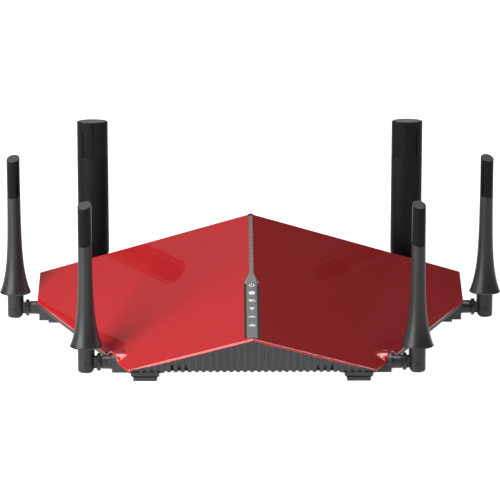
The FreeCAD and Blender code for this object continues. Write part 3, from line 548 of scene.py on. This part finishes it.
POWER = [(arc(0.8, 125, 415)[:-1], False), ([(0, 0.15), (0, 1.0)], False)]
GLOBE = [(arc(0.9, 0, 360)[:-1], True), (arc(0.9, 0, 360, squash=0.45)[:-1], True),
         ([(-0.9, 0), (0.9, 0)], False), (arc(0.9, 205, 335, cy=1.0), False),
         (arc(0.9, 25, 155, cy=-1.0), False)]
LOCAL_WAVES = waves(-0.25, (0.35, 0.8, 1.25)) + [square(0.85, -0.1, 0.16), square(-0.25, -0.45, 0.1)]
FAR_WAVES = waves(0.0, (0.35, 0.8, 1.25)) + [square(0.0, -0.45, 0.1)]
PLUG = [([(-0.9, 0.0), (0.5, 0.0)], False), ([(0.5, -0.35), (1.0, 0.0), (0.5, 0.35)], True),
        ([(-0.4, 0.0), (0.0, 0.55), (0.35, 0.55)], False), square(-0.9, 0.0, 0.16)]
NETWORK = [square(-0.75, -0.4, 0.22), square(0.0, -0.4, 0.22), square(0.75, -0.4, 0.22),
           ([(-0.75, 0.1), (0.75, 0.1)], False), ([(0.0, 0.1), (0.0, 0.7)], False)]
verts, faces = [], []
for i, strokes in enumerate((POWER, GLOBE, LOCAL_WAVES, FAR_WAVES, PLUG, NETWORK)):
    symbol(strokes, ICON_BACK_Y - i * ICON_PITCH, verts, faces)
mesh_piece("indicator_symbols", verts, faces, symbol_white)


# ------------------------------------------------------------------ slim antennas
# Four trumpet-shaped antennas, each a hollow radome moulded in satin black with a flared skirt, a
# glossy tip cut on a slant, and a slotted barrel below the skirt that folds on a steel pin.
SLIM_NAMES = ("front_left", "front_right", "side_left", "side_right")
RIM_UP = 14.3 * MM
SLIM_H = 127.6 * MM
TIP_R = 5.9 * MM
FLARE_R = 8.3 * MM
FLARE_DECAY = 20.5 * MM
CUT_BACK = math.tan(math.radians(22))
CUT_OUT = math.tan(math.radians(7))
TIP_LENGTH = 33.6 * MM
TIP_TOP = RIM_UP + SLIM_H - TIP_R * math.hypot(CUT_BACK, CUT_OUT)
TIP_SEAM = TIP_TOP - TIP_LENGTH
BARREL_R = 7.4 * MM
BARREL_DROP = 8.6 * MM
BARREL_CORNER = 1.6 * MM
RELIEF_R = 9.0 * MM     # the slot's corner is cleared to this radius for the fold
ROUND_STEPS = 96
SKIRT_LEVELS = 44

antenna_matte = moulded("antenna_matte", (0.015, 0.015, 0.0155), 0.4, grain=0.4 * MM, depth=0.015,
                        mottle=0.08, spread=0.04, sheen=0.35)
antenna_gloss = moulded("antenna_gloss", (0.003, 0.003, 0.003), 0.07, grain=3 * MM, depth=0.002,
                        mottle=0.05, spread=0.02, sheen=0.11)
antenna_end = moulded("antenna_end", (0.055, 0.055, 0.056), 0.6, grain=0.3 * MM, depth=0.02, mottle=0.08,
                      sheen=0.2)
pin_steel = moulded("pin_steel", (0.035, 0.035, 0.036), 0.4, grain=0.2 * MM, depth=0.01, metallic=1.0)


def lathe(profile, steps=ROUND_STEPS):
    """A turned shape about Z, closed at both ends. Each row is radius, height, share of the slant."""
    verts, faces = [], []
    for r, z, share in profile:
        for i in range(steps):
            turn = 2 * math.pi * i / steps
            x, y = r * math.cos(turn), r * math.sin(turn)
            verts.append((x, y, z + share * (CUT_BACK * y - CUT_OUT * x)))
    for row in range(len(profile) - 1):
        a, b = row * steps, (row + 1) * steps
        for i in range(steps):
            j = (i + 1) % steps
            faces.append((a + i, a + j, b + j, b + i))
    faces.append(tuple(range(steps - 1, -1, -1)))
    last = (len(profile) - 1) * steps
    faces.append(tuple(range(last, last + steps)))
    return verts, faces


def skirt_r(height):
    return TIP_R + FLARE_R * math.exp(-height / FLARE_DECAY)


def shaft_profile():
    rim = TIP_R + FLARE_R
    rows = [(BARREL_R - 1.0 * MM, RIM_UP + 1.2 * MM, 0), (BARREL_R + 0.5 * MM, RIM_UP + 0.5 * MM, 0),
            (rim - 1.4 * MM, RIM_UP, 0)]
    for i in range(7):
        turn = math.pi / 2 * i / 6
        rows.append((rim - 0.55 * MM * (1 - math.sin(turn)), RIM_UP + 0.55 * MM * (1 - math.cos(turn)), 0))
    low, high = 1.1 * MM, TIP_SEAM - RIM_UP
    for i in range(SKIRT_LEVELS + 1):
        share = (i / SKIRT_LEVELS) ** 1.35
        height = low + (high - low) * share
        rows.append((skirt_r(height), RIM_UP + height, min(max(share * 1.5 - 0.5, 0), 1)))
    rows.append((TIP_R - 0.6 * MM, TIP_SEAM - 0.05 * MM, 1))
    return rows


def tip_profile():
    edge = 0.35 * MM
    gap = 0.1 * MM
    start = TIP_SEAM + 0.25 * MM
    start_r = skirt_r(SLIM_H - TIP_LENGTH)
    rows = [(TIP_R - 0.6 * MM, TIP_SEAM + gap, 1), (start_r - 0.12 * MM, TIP_SEAM + gap, 1),
            (start_r, start, 1)]
    for i in range(1, 9):
        z = start + (TIP_TOP - edge - start) * i / 8
        rows.append((skirt_r(z - RIM_UP), z, 1))
    for i in range(1, 5):
        turn = math.pi / 2 * i / 4
        rows.append((TIP_R - edge * (1 - math.cos(turn)), TIP_TOP - edge * (1 - math.sin(turn)), 1))
    return rows


def carve(verts, faces, cutters):
    """The mesh with each cutter's box or drum taken out of it."""
    mesh = bpy.data.meshes.new("blank")
    mesh.from_pydata([tuple(v) for v in verts], [], faces)
    blank = bpy.data.objects.new("blank", mesh)
    bpy.context.scene.collection.objects.link(blank)
    tools = []
    for cut_verts, cut_faces in cutters:
        tool_mesh = bpy.data.meshes.new("tool")
        tool_mesh.from_pydata([tuple(v) for v in cut_verts], [], cut_faces)
        tool = bpy.data.objects.new("tool", tool_mesh)
        bpy.context.scene.collection.objects.link(tool)
        tools.append(tool)
        cut = blank.modifiers.new("cut", "BOOLEAN")
        cut.operation = "DIFFERENCE"
        cut.solver = "EXACT"
        cut.object = tool
    bpy.context.view_layer.update()
    result = bpy.data.meshes.new_from_object(blank.evaluated_get(bpy.context.evaluated_depsgraph_get()))
    for thing in tools + [blank]:
        bpy.data.objects.remove(thing)
    return [v.co.copy() for v in result.vertices], [tuple(p.vertices) for p in result.polygons]


def block(x0, x1, y0, y1, z0, z1):
    verts = [(x, y, z) for z in (z0, z1) for x, y in ((x0, y0), (x1, y0), (x1, y1), (x0, y1))]
    faces = [(3, 2, 1, 0), (4, 5, 6, 7)] + [(i, (i + 1) % 4, (i + 1) % 4 + 4, i + 4) for i in range(4)]
    return verts, faces


def drum(r, along, start, end, centre=(0, 0), steps=48):
    """A round bar along one axis (0, 1 or 2), centred on the other two."""
    verts, faces = lathe([(r, start, 0), (r, end, 0)], steps)
    order = {0: (2, 0, 1), 1: (1, 2, 0), 2: (0, 1, 2)}[along]
    turned = []
    for v in verts:
        p = [v[order[i]] for i in range(3)]
        free = [i for i in range(3) if i != along]
        p[free[0]] += centre[0]
        p[free[1]] += centre[1]
        turned.append(tuple(p))
    return turned, faces


SLOT_W = 6.5 * MM
PIN_R = 1.5 * MM
TONGUE_H = 5.2 * MM


def forked(blank, tongue_h, relief_r, far):
    """The blank with its slot for the tongue, its pin holes, and the corner cleared for the fold."""
    lift = tongue_h + 0.4 * MM
    slot = block(-far, lift, -SLOT_W / 2, SLOT_W / 2, -far, lift)
    holes = drum(PIN_R + 0.06 * MM, 1, -far, far)
    ring = drum(relief_r, 1, -far * 0.9, far * 0.9, steps=ROUND_STEPS)
    quarter = block(-far, 0, -far * 0.8, far * 0.8, -far, 0)
    relief = carve(*quarter, [ring])
    return carve(*blank, [slot, holes, relief])


def barrel_mesh():
    rows = []
    for i in range(7):
        turn = math.pi / 2 * i / 6
        rows.append((BARREL_R - BARREL_CORNER * (1 - math.sin(turn)),
                     -BARREL_DROP + BARREL_CORNER * (1 - math.cos(turn)), 0))
    rows.append((BARREL_R, RIM_UP + 1.1 * MM, 0))
    return forked(lathe(rows), TONGUE_H, RELIEF_R, 30 * MM)


def placed(verts, antenna, turn=0):
    """From the antenna's own frame, hinge at the origin and socket towards -X, to its place."""
    centre = pin_centre(antenna)
    if turn:
        return [Vector((-v[1], v[0], v[2])) + centre for v in verts]
    side = 1 if centre.x > 0 else -1
    return [Vector((side * v[0], v[1], v[2])) + centre for v in verts]


def merged(*parts):
    verts, faces = [], []
    for part_verts, part_faces in parts:
        start = len(verts)
        verts += list(part_verts)
        faces += [tuple(i + start for i in face) for face in part_faces]
    return verts, faces


def matt_end(piece):
    """The flat end of a tip is left with a fine matt texture."""
    piece.data.materials.append(antenna_end)
    top = max(piece.data.polygons, key=lambda face: face.center.z * (len(face.vertices) > 40))
    top.material_index = 1


slim_shell = merged(lathe(shaft_profile()), barrel_mesh())
slim_tip = lathe(tip_profile())
slim_pin = drum(PIN_R, 1, -BARREL_R + 0.55 * MM, BARREL_R - 0.55 * MM, steps=32)
for name in SLIM_NAMES:
    body = name + "_antenna"
    mesh_piece(name + "_shaft", placed(slim_shell[0], name), slim_shell[1], antenna_matte, body,
               [name + "_radome", name + "_element"])
    tip = mesh_piece(name + "_gloss_tip", placed(slim_tip[0], name), slim_tip[1], antenna_gloss, body,
                     [name + "_tip"])
    matt_end(tip)
    mesh_piece(name + "_pin", placed(slim_pin[0], name), slim_pin[1], pin_steel, body,
               [name + "_hinge_pin"])


# ------------------------------------------------------------------ swivel knuckles
# A nylon knuckle turns in each socket: a round collar, a short neck and a flat rounded tongue that
# the barrel's two cheeks hold on the pin. Its hollow spigot runs through the socket for the lead.
NECK = 9.3 * MM
COLLAR_T = 3.3 * MM
COLLAR_R = 7.7 * MM
TONGUE_W = 6.0 * MM
SPIGOT_R = 4.05 * MM
BOSS_R = 5.4 * MM
WIDE_NECK = 12.2 * MM
knuckle_black = moulded("knuckle_black", (0.016, 0.016, 0.017), 0.36, grain=0.6 * MM, depth=0.012,
                        sheen=0.4)


def turned_x(rows, steps=64):
    """A turned shape about X, from rows of radius and place along X."""
    verts, faces = lathe([(r, x, 0) for r, x in rows], steps)
    return [(v[2], v[0], v[1]) for v in verts], faces


def knuckle_mesh(neck, collar_r, tongue_h, spigot_end):
    edge = 0.7 * MM
    reach = neck + COLLAR_T
    boss = reach + 0.05 * MM
    rows = [(SPIGOT_R, -spigot_end), (SPIGOT_R, -boss), (BOSS_R, -boss), (BOSS_R, -reach),
            (collar_r - edge, -reach), (collar_r, -reach + edge), (collar_r, -neck - edge),
            (collar_r - edge, -neck), (tongue_h + 0.4 * MM, -neck), (tongue_h, -neck + 0.2 * MM)]
    shaft = turned_x(rows)
    half = TONGUE_W / 2
    round_off = 0.5 * MM
    outline = []
    steps = 28
    for i in range(steps + 1):
        turn = -math.pi / 2 + math.pi * i / steps
        outline.append((tongue_h * math.cos(turn), tongue_h * math.sin(turn)))
    outline += [(-neck - 0.5 * MM, tongue_h), (-neck - 0.5 * MM, -tongue_h)]
    verts, faces = [], []
    straight = half - round_off
    for y, inset in ((-half, round_off), (-straight, 0.0), (straight, 0.0), (half, round_off)):
        shrink = 1 - inset / tongue_h
        for x, z in outline:
            verts.append((x * (shrink if x > 0 else 1), y, z * shrink))
    count = len(outline)
    for row in range(3):
        for i in range(count):
            j = (i + 1) % count
            faces.append((row * count + i, row * count + j, (row + 1) * count + j, (row + 1) * count + i))
    faces.append(tuple(range(count - 1, -1, -1)))
    faces.append(tuple(range(3 * count, 4 * count)))
    return merged(shaft, (verts, faces))


def spigot_reach(antenna):
    """How far the knuckle reaches in from the pin, read from its node in the frame."""
    low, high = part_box(antenna + "_knuckle")
    centre = pin_centre(antenna)
    if antenna.startswith("back"):
        return centre.y - low.y
    return (high.x - centre.x) if centre.x < 0 else (centre.x - low.x)


for name in SLIM_NAMES:
    verts, faces = knuckle_mesh(NECK, COLLAR_R, TONGUE_H, spigot_reach(name))
    mesh_piece(name + "_swivel_knuckle", placed(verts, name), faces, knuckle_black, name + "_swivel",
               [name + "_knuckle"])


# ------------------------------------------------------------------ antenna sockets
# Each socket is a black bush pressed into a housing of the bottom case. Its sleeve stands out of
# the housing, with a chamfered mouth; a thin soft washer sits between it and the knuckle's collar.
socket_black = moulded("socket_black", (0.02, 0.02, 0.021), 0.38, grain=0.6 * MM, depth=0.012, sheen=0.35)
rubber_black = moulded("rubber_black", (0.022, 0.022, 0.023), 0.62, grain=0.5 * MM, depth=0.03, mottle=0.1)
dress(rubber_black, "swivel_washers", "antenna_leads")
SLEEVE_R = 6.05 * MM
WASHER_T = 0.6 * MM


def sleeve_mesh(start, end):
    """The visible sleeve, along X from the housing out to the washer, in the antenna's frame."""
    mouth = 0.6 * MM
    root = start - 4 * MM
    root_r = SLEEVE_R + 0.35 * MM
    rows = [(5.0 * MM, root), (root_r, root), (root_r, start + 1.3 * MM),
            (SLEEVE_R + 0.05 * MM, start + 1.9 * MM), (SLEEVE_R, start + 2.4 * MM), (SLEEVE_R, end - mouth),
            (SLEEVE_R - mouth * 0.6, end), (4.2 * MM, end)]
    return turned_x(rows)


CASE_SIDE_X = 192.7 * MM
FRONT_FACE_X = 121.0 * MM
REAR_FACE_Y = NOSE_Y + 247.0 * MM
sleeves = []
for name in SLIM_NAMES:
    centre = pin_centre(name)
    face = FRONT_FACE_X if name.startswith("front") else CASE_SIDE_X
    verts, faces = sleeve_mesh(-(abs(centre.x) - face), -NECK - COLLAR_T - WASHER_T)
    sleeves.append((placed(verts, name), faces))
for name in ("back_left", "back_right"):
    centre = pin_centre(name)
    verts, faces = sleeve_mesh(-(centre.y - REAR_FACE_Y), -WIDE_NECK - COLLAR_T - WASHER_T)
    sleeves.append((placed(verts, name, turn=1), faces))
verts, faces = merged(*sleeves)
mesh_piece("socket_sleeves", verts, faces, socket_black, replaced=["antenna_sockets"])


# ------------------------------------------------------------------ wide antennas
# Two paddle antennas stand behind the case. Each is a hollow elliptical radome in satin black with
# a plain glossy cap, narrowing below to a slotted barrel on a steel pin.
WIDE_NAMES = ("back_left", "back_right")
WIDE_TOP = cad_high.z
WIDE_RX = 14.2 * MM
WIDE_RY = 9.25 * MM
WIDE_BARREL = 9.8 * MM
WIDE_DROP = 10.5 * MM
WIDE_SHOULDER = 34 * MM
WIDE_CAP = 33 * MM
WIDE_TONGUE_H = 6.0 * MM
WIDE_CORNER = 1.8 * MM
WIDE_EDGE = 0.8 * MM
WIDE_RELIEF_R = 11.0 * MM
PADDLE_STEPS = 120
# The paddles' base colour is a third of the slim antennas' matte although it is the same black plastic:
# painted shade for the weaker light that reaches them behind the case.
paddle_matte_painted_shade = moulded("paddle_matte_painted_shade", (0.005, 0.005, 0.0053), 0.42, grain=0.4 * MM, depth=0.015,
                       mottle=0.08, spread=0.04, sheen=0.12)


def paddle(rows):
    """Rows of half depth, half width and height; the section is an ellipse, wide along Y."""
    verts, faces = lathe([(1.0, row[2], 0) for row in rows], PADDLE_STEPS)
    shaped = []
    for i, v in enumerate(verts):
        rx, ry, z = rows[i // PADDLE_STEPS]
        shaped.append((v[0] * rx, v[1] * ry, z))
    return shaped, faces


def paddle_rows(height):
    rows = []
    for i in range(7):
        turn = math.pi / 2 * i / 6
        cut = WIDE_CORNER * (1 - math.sin(turn))
        rows.append((WIDE_RY - cut, WIDE_BARREL - cut, -WIDE_DROP + WIDE_CORNER * (1 - math.cos(turn))))
    low = 12 * MM
    for i in range(25):
        t = i / 24
        rx = WIDE_BARREL + (WIDE_RX - WIDE_BARREL) * t * t * (3 - 2 * t)
        rows.append((WIDE_RY, rx, low + (WIDE_SHOULDER - low) * t))
    seam = height - WIDE_CAP
    rows.append((WIDE_RY, WIDE_RX, seam - 0.15 * MM))
    rows.append((WIDE_RY - 0.15 * MM, WIDE_RX - 0.15 * MM, seam))
    rows.append((WIDE_RY - 0.6 * MM, WIDE_RX - 0.6 * MM, seam))
    return rows


def paddle_cap_rows(height):
    seam = height - WIDE_CAP
    foot = seam + 0.1 * MM
    rows = [(WIDE_RY - 0.6 * MM, WIDE_RX - 0.6 * MM, foot),
            (WIDE_RY - 0.15 * MM, WIDE_RX - 0.15 * MM, foot),
            (WIDE_RY, WIDE_RX, seam + 0.25 * MM), (WIDE_RY, WIDE_RX, height - WIDE_EDGE)]
    for i in range(1, 6):
        turn = math.pi / 2 * i / 5
        cut = WIDE_EDGE * (1 - math.cos(turn))
        rows.append((WIDE_RY - cut, WIDE_RX - cut, height - WIDE_EDGE * (1 - math.sin(turn))))
    return rows


wide_height = WIDE_TOP - pin_centre("back_left").z
wide_shell = forked(paddle(paddle_rows(wide_height)), WIDE_TONGUE_H, WIDE_RELIEF_R, 40 * MM)
wide_cap = paddle(paddle_cap_rows(wide_height))
wide_pin = drum(PIN_R, 1, -WIDE_BARREL + 0.9 * MM, WIDE_BARREL - 0.9 * MM, steps=32)
for name in WIDE_NAMES:
    body = name + "_antenna"
    mesh_piece(name + "_paddle", placed(wide_shell[0], name, 1), wide_shell[1], paddle_matte_painted_shade, body,
               [name + "_radome", name + "_element"])
    cap = mesh_piece(name + "_gloss_cap", placed(wide_cap[0], name, 1), wide_cap[1], antenna_gloss, body,
                     [name + "_tip"])
    matt_end(cap)
    mesh_piece(name + "_pin", placed(wide_pin[0], name, 1), wide_pin[1], pin_steel, body,
               [name + "_hinge_pin"])
    verts, faces = knuckle_mesh(WIDE_NECK, COLLAR_R + 0.8 * MM, WIDE_TONGUE_H, spigot_reach(name))
    mesh_piece(name + "_swivel_knuckle", placed(verts, name, 1), faces, knuckle_black, name + "_swivel",
               [name + "_knuckle"])


# ------------------------------------------------------------------ rear sockets and buttons
# The network jacks, bus sockets and power inlet are soldered to the main board and show through
# the rear panel. Three buttons beside them are guided in the panel and spring back.
jack_black = moulded("jack_black", (0.03, 0.03, 0.03), 0.4, grain=0.5 * MM, depth=0.02)
tongue_blue = moulded("tongue_blue", (0.02, 0.11, 0.42), 0.4, grain=0.5 * MM, depth=0.01)
socket_steel = moulded("socket_steel", (0.62, 0.62, 0.63), 0.28, grain=0.3 * MM, depth=0.01, metallic=1.0)
button_grey = moulded("button_grey", (0.09, 0.09, 0.095), 0.35, grain=0.5 * MM, depth=0.01, coat=0.2)
dress(jack_black, "network_jacks", "dc_jack", "switch_bodies")
dress(tongue_blue, "usb_tongues")
dress(socket_steel, "usb_sockets")
dress(button_grey, "power_button", "wps_button", "reset_button")
CONTACT_COUNT = 8
CONTACT_PITCH = 1.02 * MM
CONTACT_W = 0.45 * MM
CONTACT_T = 0.3 * MM
CONTACT_FRONT = Vector((0, -3.0, -3.3)) * MM     # from the jacks' upper front edge
CONTACT_BACK = Vector((0, -11.0, -6.2)) * MM
JACK_PLACES = [x * MM for x in (-62.0, -45.0, -28.0, -11.0, 6.0)]
contact_gold = moulded("contact_gold", (0.83, 0.58, 0.22), 0.25, grain=0.2 * MM, depth=0.004, metallic=1.0)


def contact_springs():
    """Eight gold springs in each network jack, sloping from the ceiling down to the back."""
    jack_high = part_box("network_jacks")[1]
    edge = Vector((0, jack_high.y, jack_high.z))
    front = edge + CONTACT_FRONT
    back = edge + CONTACT_BACK
    across = Vector((CONTACT_W / 2, 0, 0))
    thick = (back - front).cross(Vector((1, 0, 0))).normalized() * (CONTACT_T / 2)
    springs = []
    for jack_x in JACK_PLACES:
        for i in range(CONTACT_COUNT):
            middle = Vector((jack_x + (i - (CONTACT_COUNT - 1) / 2) * CONTACT_PITCH, 0, 0))
            verts = [middle + end + sx * across + sy * thick
                     for end in (front, back) for sx, sy in ((-1, -1), (1, -1), (1, 1), (-1, 1))]
            sides = [(j, (j + 1) % 4, (j + 1) % 4 + 4, j + 4) for j in range(4)]
            springs.append((verts, [(3, 2, 1, 0), (4, 5, 6, 7)] + sides))
    return merged(*springs)


verts, faces = contact_springs()
mesh_piece("jack_contacts", verts, faces, contact_gold)


# ------------------------------------------------------------------ boards and inner parts
# The green main board carries an aluminium heat sink and three tinned radio shields. A narrow board
# under the ridge holds the indicator lamps, and a clear guide brings their light to the window.
board_green = moulded("board_green", (0.01, 0.09, 0.03), 0.35, grain=1.2 * MM, depth=0.02, mottle=0.2)
sink_metal = moulded("sink_metal", (0.66, 0.67, 0.68), 0.4, grain=0.4 * MM, depth=0.02, metallic=1.0)
clear_guide = moulded("clear_guide", (0.75, 0.78, 0.8), 0.15, grain=2 * MM, depth=0.01, coat=0.5)
screw_zinc = moulded("screw_zinc", (0.5, 0.5, 0.5), 0.35, grain=0.3 * MM, depth=0.01, metallic=1.0)
dress(board_green, "main_board", "indicator_board")
dress(sink_metal, "heat_sink")
dress(socket_steel, "radio_shields")
dress(clear_guide, "light_guide")
dress(screw_zinc, "case_screws", "board_screws")


# ------------------------------------------------------------------ feet
# Four stepped rubber blocks are pressed into pockets in the belly; the narrow tread below grips.
dress(rubber_black, "feet")


# ------------------------------------------------------------------ studio
# A pale seamless floor with a soft key light low in front on the left, a soft panel overhead and a
# fill from behind. Two more panels show only as reflections in the glossy roof. The camera looks
# slightly down on the nose from far away with a long lens.
floor_mesh = bpy.data.meshes.new("floor")
FLOOR_REACH = 14.0
floor_mesh.from_pydata([(-FLOOR_REACH, -FLOOR_REACH, 0), (FLOOR_REACH, -FLOOR_REACH, 0),
                        (FLOOR_REACH, FLOOR_REACH, 0), (-FLOOR_REACH, FLOOR_REACH, 0)], [], [(0, 1, 2, 3)])
floor = bpy.data.objects.new("floor", floor_mesh)
bpy.context.scene.collection.objects.link(floor)
floor_white = moulded("floor_white", (0.9, 0.9, 0.9), 0.9, grain=2 * MM, depth=0.0, mottle=0.0, sheen=0.0)
floor_shader = floor_white.node_tree.nodes["Principled BSDF"]
floor_shader.inputs["Emission Color"].default_value = (1, 1, 1, 1)
floor_shader.inputs["Emission Strength"].default_value = 0.95
floor_mesh.materials.append(floor_white)


def soft_panel(name, place, aim, width, height, power):
    light = bpy.data.lights.new(name, "AREA")
    light.shape = "RECTANGLE"
    light.size = width
    light.size_y = height
    light.energy = power
    lamp = bpy.data.objects.new(name, light)
    bpy.context.scene.collection.objects.link(lamp)
    lamp.location = place
    lamp.rotation_euler = (Vector(aim) - Vector(place)).to_track_quat("-Z", "Y").to_euler()
    return lamp


def reflector(name, place, aim, width, height, power):
    """A panel that only shows as a reflection in glossy surfaces."""
    lamp = soft_panel(name, place, aim, width, height, power)
    lamp.visible_diffuse = False


soft_panel("key_left", (-1.07, -0.91, 0.40), (-0.05, 0, 0.06), 1.05, 0.62, 24)
soft_panel("overhead", (0, -0.4, 2.3), (0, 0, 0), 1.6, 1.6, 9)
reflector("overhead_card", (0, -0.1, 2.1), (0, 0, 0), 5.2, 1.4, 176)
reflector("back_left_card", (-1.1, 1.65, 1.6), (0, 0, 0.05), 2.6, 2.2, 3.9)
soft_panel("back_fill", (0.3, 2.4, 0.35), (0, 0, 0.08), 1.6, 0.6, 22)

world = bpy.data.worlds.new("studio")
bpy.context.scene.world = world
world.use_nodes = True
world.node_tree.nodes["Background"].inputs["Color"].default_value = (0.95, 0.97, 1.0, 1)
world.node_tree.nodes["Background"].inputs["Strength"].default_value = 0.055

CAMERA_TILT = math.radians(14.17)
CAMERA_TURN = math.radians(-0.496)
CAMERA_FAR = 2.706
CAMERA_AIM = Vector((-1.09 * MM, NOSE_Y + 120 * MM, 95.6 * MM))
camera_data = bpy.data.cameras.new("camera")
camera_data.sensor_width = 36
camera_data.lens = 3081 * 36 / 500
camera_data.clip_end = 100
camera = bpy.data.objects.new("camera", camera_data)
bpy.context.scene.collection.objects.link(camera)
level_reach = math.cos(CAMERA_TILT)
back = Vector((math.sin(CAMERA_TURN) * level_reach, -math.cos(CAMERA_TURN) * level_reach,
               math.sin(CAMERA_TILT)))
camera.location = CAMERA_AIM + back * CAMERA_FAR
camera.rotation_euler = (-back).to_track_quat("-Z", "Y").to_euler()
bpy.context.scene.camera = camera
bpy.context.scene.view_settings.view_transform = "Standard"
